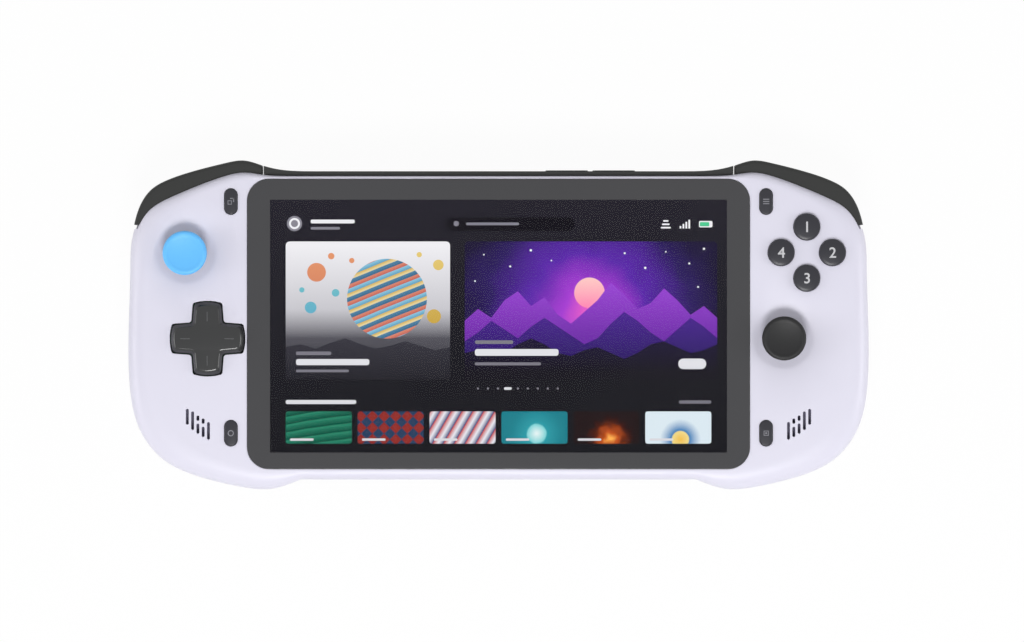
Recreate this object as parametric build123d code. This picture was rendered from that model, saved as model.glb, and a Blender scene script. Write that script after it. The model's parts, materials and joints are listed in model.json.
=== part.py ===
from build123d import *
import os
from math import asin, cos, hypot, radians, sin, sqrt, tan

os.makedirs("parts", exist_ok=True)

# A handheld game console on its back: +Z out of the screen, +Y to its top edge, +X to its right hand.
# Millimetres. The origin is under the middle of the case, on the surface that the grips rest on.

# Case, sized round its screen
glass_length = 171.2
glass_height = 98.8
grip_reach = 41.1  # side of the glass to the end of a grip
lobe_reach = 6.8  # half the glass's height to the shoulder crest, and to the lower lobe
half_glass = glass_length / 2
half_length = half_glass + grip_reach
half_height = glass_height / 2 + lobe_reach
face_z = 28.0  # front face
parting_z = 20.0  # where the two shells meet
slab_back_z = 12.5  # back of the middle, between the grips
wall = 2.0
grip_step = 0.25  # fine step where a grip leaves the middle
front_roundness = 2.6  # exponent of the curve at the front edge
grip_roundness = 2.2  # exponent of the curve of a grip

# Places beside the glass: shares of grip_reach outwards from its side along X, and of half_height along Y
bumper_shares = (-0.1168, 0.90214)  # inner end along X, and pin along Y
trigger_shares = (-0.0097, 0.5523, 0.75623)  # inner and outer end along X, and pin along Y
switch_x_share = 0.472
board_x_shares = (0.0584, 0.219, 0.764)  # inner edge, edge of the strip, outer edge
board_y_shares = (-0.80071, -0.37367, 0.83630, 0.65836)  # foot of strip and middle, top of strip and middle
foot_shares = (0.4136, 0.53381)  # half the length and half the height of a grip's foot
motor_y_share = 0.17794

# Places in the middle: shares of half_length along X and of half_height along Y
volume_x_share = 0.12707  # inner end of the first key
slider_x_share = -0.36306
main_x_shares = (-0.11050, 0.04736, 0.52092)  # inner end of the strip, inner and outer edge
main_y_shares = (-0.88078, -0.64057, 0.71174)  # lower edge, step, upper edge
main_screw_shares = [(0.08682, 0.62278), (0.48145, 0.62278), (0.48145, -0.56940), (-0.07103, -0.83986)]
ribbon_y_share = -0.72776
window_shares = (0.11050, 0.28414, -0.76512, -0.69395)  # window for the display ribbon: X, then Y
battery_x_share = -0.25257
processor_share = (0.29992, 0.10676)
frame_screw_share = 0.62278
jack_x_share = 0.34728

# Clearances
play = 0.3  # round a piece that moves
snug = 0.15  # round a button in its hole
running = 0.05  # round a pin in its hole
close = 0.1  # between two pieces that nearly touch
overrun = 1.0  # how far a cut runs past a face

# Screen
glass_y = 0.4  # the glass sits a little above the middle
glass_corner = 7.5
glass_thickness = 1.7
glass_proud = 0.3
glass_gap = 0.1
gasket_thickness = 0.3
gasket_width = 2.7
ledge_width = 4.4
panel_thickness = 3.0
panel_gap = 0.4
frame_thickness = 1.6

# Sticks
stick_tilt = 14.0  # degrees, each way
stick_click = 0.4
pivot_drop = 11.5  # pivot below the front face
well_depth = 2.5
well_radius = 11.0
well_floor = 1.2  # wall under the deepest point of the well
stick_hole_radius = 6.6
cap_radius = 7.5
cap_rise = 3.8  # underside of the cap above the face
cap_height = 2.9
cap_edge = 1.0
cap_dish = 0.9
neck_radius = 2.5
neck_gap = 0.9  # the neck's foot above the yoke's arch
skirt_thickness = 1.0
skirt_reach = 63.0  # degrees from the top
post_radius = 1.5
housing_side = 11.5
housing_wall = 1.0
housing_corner = 0.8
skirt_gap = 0.4  # from the skirt to the hole in its board
housing_rise = 3.0  # rim above the pivot
housing_drop = 5.0  # underside below the pivot
base_side = 18.0
base_screw_reach = 7.0  # pivot to a screw, along X and along Y
base_thickness = 1.2
trunnion_radius = 1.0
arch_radius = 3.7
arch_thickness = 0.8
arch_half_width = 2.4
slot_gap = 0.15
cradle_half_x = 3.2
cradle_half_y = 2.6
cradle_half_z = 1.3
cradle_pin_radius = 0.5

# D-pad
dpad_reach = 12.5  # centre to the end of an arm, at the face
dpad_bulge = 0.8  # how far the end of an arm curves out
dpad_taper = 0.5  # how far each side of an arm widens towards the middle
dpad_corner = 1.0
dpad_draft = 1.2  # how far the end of an arm leans back to its top
dpad_arm = 9.3  # width of an arm's end at the face
dpad_top_arm = 7.3
dpad_rise = 2.0
dpad_flange = 1.0  # how far the flange stands out beside each arm, and its thickness
dpad_lift = 1.7  # free height over the flange
dpad_gap = 0.4  # round the cross in its hole
dpad_pivot_drop = 1.4
dpad_ball_radius = 1.5
dpad_cap_thickness = 0.55
dpad_post_radius = 1.0
dpad_base_side = 9.0
dpad_base_thickness = 0.8
dpad_dome_inset = 3.5  # end of an arm to the middle of its rubber dome
dpad_dome_radius = 2.0
dpad_dome_height = 1.0

# Face buttons
button_radius = 4.5
button_pitch = 8.73  # centre of the cluster to the centre of a button
button_rise = 1.8
button_travel = 1.0
button_dome = 0.35
flange_width = 0.6
flange_thickness = 1.0
button_length = 6.6
pad_thickness = 0.8
pad_lobe_radius = 3.4
dome_radius = 2.6

# Small capsule buttons
capsule_width = 4.4
capsule_height = 8.8
capsule_rise = 0.6
capsule_edge = 0.36
capsule_travel = 0.5
capsule_length = 5.6
capsule_flange = 0.6

# Top trim, volume buttons and power slider
trim_low_z = 14.2
trim_high_z = 25.6
trim_end_gap = 0.7  # light gap between the trim and a bumper
key_z = 17.2
key_width = 3.6
volume_length = 14.5
volume_inner_x = volume_x_share * half_length
volume_gap = 1.6
key_rise = 0.5
key_travel = 0.35
key_stem = 1.2  # how far a key reaches in past the wall
slider_length = 6.0
slider_travel = 2.0
slider_x = slider_x_share * half_length
key_board_thickness = 1.0

# Bumpers
bumper_low_z = 15.2
bumper_high_z = 25.2
bumper_root = 3.2  # how far it reaches in under the shell's lip
bumper_travel_room = 1.4  # free depth behind it
bumper_edge = 1.2  # radius of its outer edges
bumper_inner_x = half_glass + bumper_shares[0] * grip_reach
bumper_pin_radius = 0.8
bumper_pin_inset = 2.4
bumper_pin_x = bumper_inner_x + bumper_pin_inset
bumper_pin_y = bumper_shares[1] * half_height
bumper_pin_bite = 1.2

# Triggers
trigger_inner_x = half_glass + trigger_shares[0] * grip_reach
trigger_outer_x = half_glass + trigger_shares[1] * grip_reach
trigger_pin_y = trigger_shares[2] * half_height
trigger_pin_z = 11.6
trigger_pin_radius = 1.0
trigger_hub_radius = 2.2
trigger_set_back = 1.2  # behind the outline of the bumper
trigger_edge = 1.0
ear_thickness = 1.6

# Screws
screw_radius = 1.0
screw_head_radius = 2.0
screw_post_radius = 3.0
screw_head = 1.4
screw_length = 10.5
boss_radius = 2.0
head_seat_z = 14.0
board_screw_radius = 0.7
board_screw_head_radius = 1.4
board_screw_head = 0.8
board_screw_length = 4.0
board_screw_spare = 0.3  # hole deeper than the screw
board_boss_radius = 1.6

# Boards, battery and what is on them
board_thickness = 1.2
control_board_z = 19.0  # underside
main_board_z = 17.6  # underside
battery_length = 68.0
battery_thickness = 5.8
battery_gaps = (2.9, 2.0)  # above the control ribbons, and below the upper edge of the main board
shield_height = 1.8
spreader_thickness = 1.2
ribbon_width = 8.0
ribbon_y = ribbon_y_share * half_height
usb_width = 9.0
usb_height = 3.2
usb_length = 7.4
usb_mouth_width = 8.4
usb_mouth_height = 2.6
jack_radius = 1.79  # for a 3.5 mm plug
jack_wall = 0.6
jack_length = 14.0
jack_end = 1.0
jack_body_width = 6.4
jack_body_height = 4.8
port_z = 16.9
usb_recess = 0.3
usb_end = 0.9
usb_tongue_width = 6.6
usb_tongue_height = 0.7
usb_tongue_length = 5.6
jack_x = jack_x_share * half_length
speaker_width = 14.0
speaker_height = 13.6
speaker_depth = 4.6
speaker_z = 24.4  # seat of the speaker's mesh
mesh_thickness = 0.3
slot_width = 1.0
motor_length = 16.0
motor_width = 10.0
motor_height = 5.0
motor_y = motor_y_share * half_height
board_corner = 9.0  # cut from the outer top corner of a control board
board_tab_reach = 3.2
board_tab_width = 8.0
switch_width = 4.0
switch_depth = 2.8
switch_height = 2.0
switch_plunger = 2.1
switch_plunger_radius = 0.6
processor_side = 14.0
processor_height = 1.0
shield_wall = 0.4
ribbon_thickness = 0.2

# Places on the face
left_stick_share = (0.5086, 0.4359)
right_stick_share = (0.2774, -0.0801)
dpad_share = (0.3286, -0.0819)
cluster_share = (0.4719, 0.4395)
capsule_x_share = 0.135
capsule_top_share = 0.7491
capsule_low_share = -0.6548
speaker_share = (0.4087, -0.5996)

# Outline of the right half, from the top edge to the bottom edge: where the front shell is widest.
# A negative share along X lies behind the glass.
shell_shares = [
    (-0.5753, 0.908), (-0.2824, 0.909), (-0.1221, 0.918), (0.0351, 0.935), (0.2293, 0.907),
    (0.4513, 0.848), (0.6547, 0.788), (0.8335, 0.716), (0.9414, 0.600), (0.9846, 0.338),
    (1.0000, -0.089), (0.9908, -0.356), (0.9137, -0.623), (0.7041, -0.822), (0.3711, -0.932),
    (0.0690, -0.984), (-0.1406, -1.000), (-0.2978, -0.979), (-0.4242, -0.944), (-0.5753, -0.941),
]
# The same outline where the front face turns flat
flat_shares = [
    (-0.5753, 0.890), (-0.2824, 0.890), (-0.1252, 0.890), (0.0074, 0.881), (0.1738, 0.849),
    (0.3773, 0.790), (0.5438, 0.719), (0.6825, 0.625), (0.7626, 0.502), (0.8212, 0.281),
    (0.8366, -0.053), (0.8212, -0.308), (0.7318, -0.527), (0.5314, -0.690), (0.2571, -0.801),
    (0.0074, -0.856), (-0.1714, -0.879), (-0.3317, -0.884), (-0.4643, -0.884), (-0.5753, -0.884),
]
# Outline of the trim and the bumper, from the top edge to the bumper's tip
shoulder_shares = [
    (-0.5753, 0.934), (-0.4181, 0.935), (-0.2793, 0.943), (-0.1252, 0.969), (0.0289, 1.000),
    (0.1862, 0.985), (0.3434, 0.957), (0.5006, 0.925), (0.6763, 0.879), (0.7904, 0.831),
    (0.8674, 0.765), (0.9168, 0.686), (0.9630, 0.540),
]
bumper_tip_share = 0.610  # of half_height
trigger_reach = 12.1
trigger_drop = 9.4
trigger_window_y = 0.8
slider_width = 2.6
frame_inset = 1.4
frame_top_inset = 5.2
frame_low_inset = 3.0
processor_at = (processor_share[0] * half_length, processor_share[1] * half_height)
shield_size = (28.0, 28.0)
spreader_size = (42.0, 50.0)
strip_low_x, main_low_x, main_high_x = [share * half_length for share in main_x_shares]
main_low_y, main_step_y, main_high_y = [share * half_height for share in main_y_shares]
battery_low_y = ribbon_y + ribbon_width / 2 + battery_gaps[0]
battery_high_y = main_high_y - battery_gaps[1]
battery_at = (battery_x_share * half_length, (battery_low_y + battery_high_y) / 2)
battery_size = (battery_length, battery_high_y - battery_low_y)
main_screws_at = [(x * half_length, y * half_height) for x, y in main_screw_shares]
board_spans_x = [half_glass + share * grip_reach for share in board_x_shares]
board_spans_y = [share * half_height for share in board_y_shares]
switch_x = half_glass + switch_x_share * grip_reach
ribbon_window_x = [share * half_length for share in window_shares[:2]]
ribbon_window_y = [share * half_height for share in window_shares[2:]]
volume_centres = [volume_inner_x + (n + 0.5) * volume_length + n * volume_gap for n in (0, 1)]
# Speaker slots, from the middle outwards: how far each reaches below and above the speaker's centre
slot_pitch = 1.8
slot_spans = [
    [(-5.3, 0.7)], [(-4.4, -0.9), (0.1, 1.9)], [(-3.3, 0.2), (1.1, 2.9)], [(-2.0, 4.3)], [(-0.2, 5.2)],
]
# Trigger from the side, as shares of its reach and its drop: down the pulled face to the tip, then up inside
trigger_outer_shares = [(0.97, 0.10), (0.80, 0.34), (0.66, 0.58), (0.60, 0.80), (0.60, 0.93), (0.56, 1.00)]
trigger_inner_shares = [(0.56, 1.00), (0.47, 0.98), (0.37, 0.80), (0.31, 0.52)]
trigger_root_shares = (0.85, 0.50)  # of the hub's radius, outwards and down: where the inside meets the hub
# Middle of the flat foot that a grip ends in
foot_centre_share = (0.2756, -0.105)
foot_half_length = foot_shares[0] * grip_reach
foot_half_height = foot_shares[1] * half_height
# Degrees along the rounded edges, from upright to flat, at which an outline is drawn
curve_angles = (0, 25, 50, 70, 82, 90)


def place(share, side=1):
    # A place beside the glass, on the right or, where side is -1, on the left
    return (side * (half_glass + share[0] * grip_reach), share[1] * half_height)


def pinned(points, distance):
    # The points of an open outline moved inwards, to its right as it runs clockwise
    moved = []
    for n, (x, y) in enumerate(points):
        before = points[max(n - 1, 0)]
        after = points[min(n + 1, len(points) - 1)]
        dx, dy = after[0] - before[0], after[1] - before[1]
        if n in (0, len(points) - 1):
            dy = 0
        length = hypot(dx, dy)
        moved.append((x + dy / length * distance, y - dx / length * distance))
    return moved


def blended(first, second, share):
    return [(a + (c - a) * share, b + (d - b) * share) for (a, b), (c, d) in zip(first, second)]


def plan_face(points, z):
    # Face bounded by the right half's outline, its mirror image and the straight top and bottom edges
    right = Spline(points, tangents=[(1, 0), (-1, 0)])
    left = mirror(right, about=Plane.YZ)
    top = Line(left @ 0, right @ 0)
    bottom = Line(left @ 1, right @ 1)
    return Pos(0, 0, z) * make_face([right, left, top, bottom])


def side_face(points, z):
    # Face bounded by the outline of one grip and a straight inner edge
    outer = Spline(points)
    return Pos(0, 0, z) * make_face([outer, Line(outer @ 1, outer @ 0)])


def span_box(x, y, z):
    box = Box(x[1] - x[0], y[1] - y[0], z[1] - z[0])
    return Pos((x[0] + x[1]) / 2, (y[0] + y[1]) / 2, (z[0] + z[1]) / 2) * box


def rod(at, z, radius):
    return Pos(at[0], at[1], (z[0] + z[1]) / 2) * Cylinder(radius, z[1] - z[0])


def plate(at, size, z, corner):
    return extrude(Pos(at[0], at[1], z[0]) * RectangleRounded(size[0], size[1], corner), z[1] - z[0])


def capsule(at, size, z):
    # Upright capsule: size is its width and its overall height
    return extrude(Pos(at[0], at[1], z[0]) * SlotOverall(size[1], size[0], rotation=90), z[1] - z[0])


def mirrored(shape):
    return mirror(shape, about=Plane.YZ)


shell_points = [place(share) for share in shell_shares]
flat_points = [place(share) for share in flat_shares]
shoulder_points = [place(share) for share in shoulder_shares]
glass_top = glass_y + glass_height / 2
glass_bottom = glass_y - glass_height / 2
glass_low_z = face_z + glass_proud - glass_thickness
ledge_z = glass_low_z - gasket_thickness
panel_low_z = glass_low_z - panel_thickness
frame_low_z = panel_low_z - frame_thickness
slab_floor_z = slab_back_z + wall
ceiling_z = face_z - wall
board_top_z = control_board_z + board_thickness
main_top_z = main_board_z + board_thickness


def rounding(exponent):
    # Steps along a quarter of a superellipse: the share of its width and of its height reached at each angle
    for angle in curve_angles:
        yield 1 - cos(radians(angle)) ** (2 / exponent), sin(radians(angle)) ** (2 / exponent)


def front_body(inset, low_z, high_z):
    # Upright at its foot, and rounded over to a flat top
    outer = pinned(shell_points, inset)
    inner = pinned(flat_points, inset)
    faces = []
    for inwards, upwards in rounding(front_roundness):
        faces.append(plan_face(blended(outer, inner, inwards), low_z + (high_z - low_z) * upwards))
    return loft(faces)


def slab_body(inset, low_z):
    return extrude(plan_face(pinned(shell_points, inset), low_z), parting_z - low_z)


def grip_body(inset, high_z, low_z):
    # One grip: its outline narrows to a flat foot
    top = pinned(shell_points, inset + grip_step)[1:-2]
    centre = place(foot_centre_share)
    foot = []
    for x, y in top:
        away_x, away_y = (x - centre[0]) / (half_length - centre[0]), y / half_height
        reach = hypot(away_x, away_y)
        foot.append((centre[0] + (foot_half_length - inset) * away_x / reach,
                     centre[1] + (foot_half_height - inset) * away_y / reach))
    faces = []
    for inwards, downwards in rounding(grip_roundness):
        faces.append(side_face(blended(top, foot, inwards), high_z + (low_z - high_z) * downwards))
    return loft(faces)


def grips(inset, high_z, low_z):
    right = grip_body(inset, high_z, low_z)
    return right + mirrored(right)


# Places worked out from the shares
left_stick = place(left_stick_share, -1)
right_stick = place(right_stick_share)
dpad_at = place(dpad_share, -1)
cluster_at = place(cluster_share)
capsule_x = half_glass + capsule_x_share * grip_reach
capsule_top_y = capsule_top_share * half_height
capsule_low_y = capsule_low_share * half_height
speaker_at = place(speaker_share)
capsule_places = {
    "system_button": (-capsule_x, capsule_low_y),
    "home_button": (capsule_x, capsule_low_y),
    "view_button": (-capsule_x, capsule_top_y),
    "menu_button": (capsule_x, capsule_top_y),
}
button_places = {
    "button_north": (cluster_at[0], cluster_at[1] + button_pitch),
    "button_south": (cluster_at[0], cluster_at[1] - button_pitch),
    "button_east": (cluster_at[0] + button_pitch, cluster_at[1]),
    "button_west": (cluster_at[0] - button_pitch, cluster_at[1]),
}
# Screws on the right half: each has a twin on the left
case_screw_shares = [(-0.6215, 0.836), (-0.3811, -0.859), (0.8489, -0.142), (0.4482, -0.794)]
case_screws_at = [place(share) for share in case_screw_shares]
board_screw_shares = [(0.7164, -0.249), (0.1153, 0.347), (0.1307, -0.480)]
board_screws_at = [place(share) for share in board_screw_shares]
frame_screw_y = frame_screw_share * half_height
frame_screws_at = [(half_glass - ledge_width / 2 - screw_radius, y) for y in (frame_screw_y, -frame_screw_y)]

# Sticks: heights above the pivot, and the sphere of the skirt that closes the hole
pivot_z = face_z - pivot_drop
well_low_z = face_z - well_depth
well_under_z = well_low_z - well_floor
skirt_radius = hypot(stick_hole_radius, well_under_z - play - pivot_z)
board_hole_radius = skirt_radius + skirt_gap
cap_low = pivot_drop + cap_rise
housing_low = -housing_drop
base_low = housing_low - base_thickness
arch_outer = arch_radius + arch_thickness
post_top = cap_low + cap_height / 2

# D-pad and buttons: heights of what carries them
dpad_pivot_z = face_z - dpad_pivot_drop
dpad_flange_z = ceiling_z - dpad_lift - dpad_flange
dpad_socket_radius = dpad_ball_radius + dpad_cap_thickness + 2 * running
button_low_z = face_z + button_rise - button_length
capsule_low_z = face_z + capsule_rise - capsule_length
flange_low_z = ceiling_z - close - flange_thickness
edge_y = shell_points[0][1]
trim_y = shoulder_points[0][1]
bottom_y = shell_points[-1][1]
bumper_tip_y = bumper_tip_share * half_height
key_low_y = edge_y - wall - key_stem
key_board_y = key_low_y - key_travel - snug - key_board_thickness


def shoulder_region(depth, low_z, high_z, x, low_y):
    # Between the shoulder's outline and a line at this depth under the shell's edge, clipped to a box
    start, tip = shoulder_points[0], shoulder_points[-1]
    outline = Spline(shoulder_points)
    face = make_face([outline, Line(tip, (start[0], tip[1])), Line((start[0], tip[1]), start)])
    body = extrude(Pos(0, 0, low_z) * face, high_z - low_z)
    inner = extrude(plan_face(pinned(shell_points, depth), low_z - overrun), high_z - low_z + 2 * overrun)
    clip = span_box(x, (low_y, 2 * half_height), (low_z - overrun, high_z + overrun))
    return (body & clip) - inner


def cross(arm, reach, z):
    size = 2 * reach
    middle = (z[0] + z[1]) / 2
    return Pos(0, 0, middle) * (Box(size, arm, z[1] - z[0]) + Box(arm, size, z[1] - z[0]))


def axis_arc(rim, rim_z, axis_z):
    # Arc from a rim to the axis, round a centre on the axis, so that it crosses the axis level
    centre = (rim**2 + rim_z**2 - axis_z**2) / (2 * (rim_z - axis_z))
    radius = abs(axis_z - centre)
    half = asin(rim / radius) / 2
    side = 1 if axis_z > centre else -1
    return ThreePointArc((rim, rim_z), (radius * sin(half), centre + side * radius * cos(half)), (0, axis_z))


def at_both(points):
    return [(side * x, y) for x, y in points for side in (1, -1)]


def ball(centre, radius):
    return Pos(*centre) * Sphere(radius)


def along_x(x, y, z, radius):
    return Pos((x[0] + x[1]) / 2, y, z) * Rot(0, 90, 0) * Cylinder(radius, x[1] - x[0])


def along_y(x, y, z, radius):
    return Pos(x, (y[0] + y[1]) / 2, z) * Rot(90, 0, 0) * Cylinder(radius, y[1] - y[0])


def key_bar(x, y, z, length, width):
    # Round-ended bar that points along Y
    return Pos(x, y[0], z) * Rot(-90, 0, 0) * extrude(SlotOverall(length, width), y[1] - y[0])


# Shells
def speaker_slots():
    # Five slots that step upwards from the middle, for the right side
    slots = []
    for n, spans in enumerate(slot_spans):
        x = speaker_at[0] + (n - (len(slot_spans) - 1) / 2) * slot_pitch
        for low, high in spans:
            slots.append(capsule((x, speaker_at[1] + (low + high) / 2), (slot_width, high - low),
                                 (speaker_z - overrun, face_z + overrun)))
    return slots


def bumper_pocket():
    return shoulder_region(bumper_root + bumper_travel_room, bumper_low_z - play, bumper_high_z + play,
                           (bumper_inner_x - play, half_length), bumper_tip_y - bumper_travel_room)


def screw_hole(at, low_z, high_z):
    return rod(at, (low_z, high_z), board_screw_radius + running)


def make_front_shell():
    rim = plate((0, glass_y), (glass_length + 2 * wall, glass_height + 2 * wall),
                (panel_low_z, face_z), glass_corner + wall)
    rim -= plate((0, glass_y), (glass_length - 2 * ledge_width, glass_height - 2 * ledge_width),
                 (panel_low_z - overrun, face_z + overrun), glass_corner - ledge_width)
    solid = [rim]
    for at in (left_stick, right_stick):
        solid.append(rod(at, (well_under_z, face_z), well_radius + wall / 4))
    for at in at_both([speaker_at]):
        seat = (speaker_width + wall / 2, speaker_height + wall / 2)
        solid.append(plate(at, seat, (speaker_z, face_z), wall / 2))
    for at in at_both(case_screws_at):
        solid.append(rod(at, (parting_z, face_z), boss_radius))
    for at in at_both(board_screws_at):
        solid.append(rod(at, (board_top_z, face_z), board_boss_radius))
    shell = front_body(0, parting_z, face_z) - (front_body(wall, parting_z, ceiling_z) - solid)

    cuts = [plate((0, glass_y), (glass_length + 2 * glass_gap, glass_height + 2 * glass_gap),
                  (ledge_z, face_z + overrun), glass_corner + glass_gap)]
    cuts.append(plate((0, glass_y), (glass_length - 2 * ledge_width, glass_height - 2 * ledge_width),
                      (panel_low_z - overrun, face_z), glass_corner - ledge_width))
    for at in (left_stick, right_stick):
        radius = (well_radius**2 + well_depth**2) / (2 * well_depth)
        cuts.append(ball((at[0], at[1], well_low_z + radius), radius))
        cuts.append(rod(at, (well_under_z - overrun, face_z), stick_hole_radius))
    hole_outline = cross_outline(dpad_arm + 2 * dpad_gap, dpad_reach + dpad_gap, panel_low_z - overrun)
    cross_hole = extrude(hole_outline, face_z - panel_low_z + 2 * overrun)
    cross_room = cross(dpad_arm + 2 * (dpad_flange + dpad_gap), dpad_reach + dpad_gap,
                       (panel_low_z - overrun, ceiling_z))
    cuts.append(Pos(*dpad_at, 0) * (cross_hole + cross_room))
    for at in button_places.values():
        cuts.append(rod(at, (board_top_z, face_z + overrun), button_radius + snug))
        cuts.append(rod(at, (board_top_z, ceiling_z), button_radius + flange_width + play))
    for at in capsule_places.values():
        hole = (capsule_width + 2 * snug, capsule_height + 2 * snug)
        room = (hole[0] + 2 * capsule_flange, hole[1] + 2 * capsule_flange)
        cuts.append(capsule(at, hole, (board_top_z, face_z + overrun)))
        cuts.append(capsule(at, room, (board_top_z, ceiling_z)))
    for slot in speaker_slots():
        cuts += [slot, mirrored(slot)]
    cuts += [bumper_pocket(), mirrored(bumper_pocket())]
    for at in at_both([(bumper_pin_x, bumper_pin_y)]):
        cuts.append(rod(at, (bumper_low_z, bumper_high_z + play + bumper_pin_bite), bumper_pin_radius))
    for at in at_both(case_screws_at):
        hole = (parting_z - overrun, head_seat_z + screw_length + play)
        cuts.append(rod(at, hole, screw_radius + running))
    for at in at_both(board_screws_at):
        end_z = control_board_z + board_screw_length + board_screw_spare
        cuts.append(screw_hole(at, board_top_z - overrun, end_z))
    for at in at_both(frame_screws_at):
        end_z = frame_low_z + board_screw_length - board_screw_head
        cuts.append(screw_hole(at, panel_low_z - overrun, end_z))
    return shell - cuts


def grip_posts():
    # Posts under the stick bases: place, and height of the top
    reach = base_screw_reach
    for x, y in (left_stick, right_stick):
        yield (x + reach, y - reach)
        yield (x - reach, y + reach)


def make_rear_shell():
    solid = [rod(at, (0, parting_z), screw_post_radius) for at in at_both(case_screws_at)]
    solid += [rod(at, (0, pivot_z + base_low), boss_radius) for at in grip_posts()]
    solid += [rod(at, (0, main_board_z), boss_radius) for at in main_screws_at]
    ear_y = (trigger_pin_y - trigger_hub_radius - ear_thickness / 2, edge_y)
    for x in (trigger_inner_x - play, trigger_outer_x + play + ear_thickness):
        for side in (1, -1):
            ear_x = sorted((side * x, side * (x - ear_thickness)))
            solid.append(span_box(ear_x, ear_y, (0, bumper_low_z - 2 * play)))
    outer = slab_body(0, slab_back_z) + grips(0, slab_back_z, 0)
    cavity = slab_body(wall, slab_floor_z) + grips(wall, slab_floor_z, wall)
    shell = outer - (cavity - solid)

    cuts = [bumper_pocket(), mirrored(bumper_pocket()), trigger_window(), mirrored(trigger_window())]
    for at in at_both(case_screws_at):
        cuts.append(rod(at, (head_seat_z - overrun, parting_z + overrun), screw_radius + running))
        cuts.append(rod(at, (-overrun, head_seat_z), screw_head_radius + 2 * running))
    for at in grip_posts():
        top = pivot_z + base_low
        low = top + base_thickness - board_screw_length - board_screw_spare
        cuts.append(screw_hole(at, low, top + overrun))
    for at in main_screws_at:
        low = main_top_z - board_screw_length - board_screw_spare / 2
        cuts.append(screw_hole(at, low, main_board_z + overrun))
    for x in (1, -1):
        at = (x * bumper_pin_x, bumper_pin_y)
        cuts.append(rod(at, (bumper_low_z - play - bumper_pin_bite, bumper_low_z), bumper_pin_radius))
        pin_x = sorted((x * (trigger_inner_x - play - ear_thickness - running),
                        x * (trigger_outer_x + play + ear_thickness + running)))
        cuts.append(along_x(pin_x, trigger_pin_y, trigger_pin_z, trigger_pin_radius + running))
    for x in volume_centres:
        size = (volume_length + 2 * snug, key_width + 2 * snug)
        cuts.append(key_bar(x, (key_low_y, edge_y + overrun), key_z, *size))
    length = slider_length + slider_travel + 2 * play
    cuts.append(key_bar(slider_x + slider_travel / 2, (key_low_y, edge_y + overrun), key_z, length,
                        slider_width + 2 * play))
    low_y = (bottom_y - overrun, bottom_y + wall + overrun)
    usb = (usb_width + 2 * close, usb_height + 2 * close)
    cuts.append(key_bar(0, low_y, port_z, *usb))
    cuts.append(along_y(jack_x, low_y, port_z, jack_radius + jack_wall + close))
    return shell - cuts


# Triggers and bumpers
def trigger_profile():
    # Seen from the side: (Y, Z) from the hub's top, out under the bumper, down to the tip and back up inside
    y, z = trigger_pin_y, trigger_pin_z
    outer = [(y, z + trigger_hub_radius), (y + trigger_reach, z + trigger_hub_radius)]
    outer += [(y + trigger_reach * a, z - trigger_drop * b) for a, b in trigger_outer_shares]
    inner = [(y + trigger_reach * a, z - trigger_drop * b) for a, b in trigger_inner_shares]
    along, down = [share * trigger_hub_radius for share in trigger_root_shares]
    return outer, inner + [(y + along, z - down)]


def yz_face(edges, x):
    return Plane.YZ.offset(x) * make_face(edges)


def trigger_body():
    outer, inner = trigger_profile()
    edges = [Line(outer[0], outer[1]), Spline(outer[1:]), Spline(inner), Line(inner[-1], outer[0])]
    length = trigger_outer_x - trigger_inner_x
    lever = extrude(yz_face(edges, trigger_inner_x), length)
    hub = along_x((trigger_inner_x, trigger_outer_x), trigger_pin_y, trigger_pin_z, trigger_hub_radius)
    return lever + hub


def trigger_window():
    # Room for the lever at rest and pulled in
    y, z = trigger_pin_y, trigger_pin_z
    x = (trigger_inner_x - play, trigger_outer_x + play)
    room = span_box(x, (y + trigger_window_y, 2 * half_height), (-overrun, bumper_low_z))
    hub = along_x(x, y, z, trigger_hub_radius + play)
    above = span_box(x, (y, 2 * half_height), (z, bumper_low_z))
    return room + hub + above


def make_trigger():
    behind = pinned(shoulder_points, trigger_set_back)
    start, tip = behind[0], behind[-1]
    face = make_face([Spline(behind), Line(tip, (start[0], tip[1])), Line((start[0], tip[1]), start)])
    inside = extrude(face, parting_z)
    body = trigger_body() & inside
    outer_end = body.faces().sort_by(Axis.X)[-1]
    body = fillet([edge for edge in outer_end.edges() if edge.geom_type != GeomType.CIRCLE], trigger_edge)
    hole = along_x((trigger_inner_x - overrun, trigger_outer_x + overrun), trigger_pin_y, trigger_pin_z,
                   trigger_pin_radius + running)
    return body - hole


def make_bumper():
    x = (bumper_inner_x, half_length)
    body = shoulder_region(bumper_root, bumper_low_z, bumper_high_z, x, bumper_tip_y)
    faces = body.faces().sort_by(Axis.Z)
    outer_edges = [face.edges().sort_by(SortBy.LENGTH)[-1] for face in (faces[0], faces[-1])]
    body = fillet(outer_edges, bumper_edge)
    return body - rod((bumper_pin_x, bumper_pin_y), (bumper_low_z - overrun, bumper_high_z + overrun),
                      bumper_pin_radius + running)


# Keys on the top edge
def make_top_trim():
    end = bumper_inner_x - trim_end_gap
    trim = shoulder_region(0, trim_low_z, trim_high_z, (0, end), 0)
    start = shoulder_points[0]
    half = trim + span_box((0, start[0]), (edge_y, trim_y), (trim_low_z, trim_high_z))
    trim = half + mirrored(half)
    cuts = []
    for x in volume_centres:
        cuts.append(key_bar(x, (edge_y - overrun, trim_y + overrun), key_z,
                            volume_length + 2 * snug, key_width + 2 * snug))
    length = slider_length + slider_travel + 2 * play
    cuts.append(key_bar(slider_x + slider_travel / 2, (edge_y - overrun, trim_y + overrun), key_z, length,
                        slider_width + 2 * play))
    return trim - cuts


def make_volume_key(x):
    key = key_bar(x, (key_low_y, trim_y + key_rise), key_z, volume_length, key_width)
    flange_y = (key_low_y, edge_y - wall - 2 * running)
    size = (volume_length + 2 * flange_width, key_width + 2 * flange_width)
    return key + key_bar(x, flange_y, key_z, *size)


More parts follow.
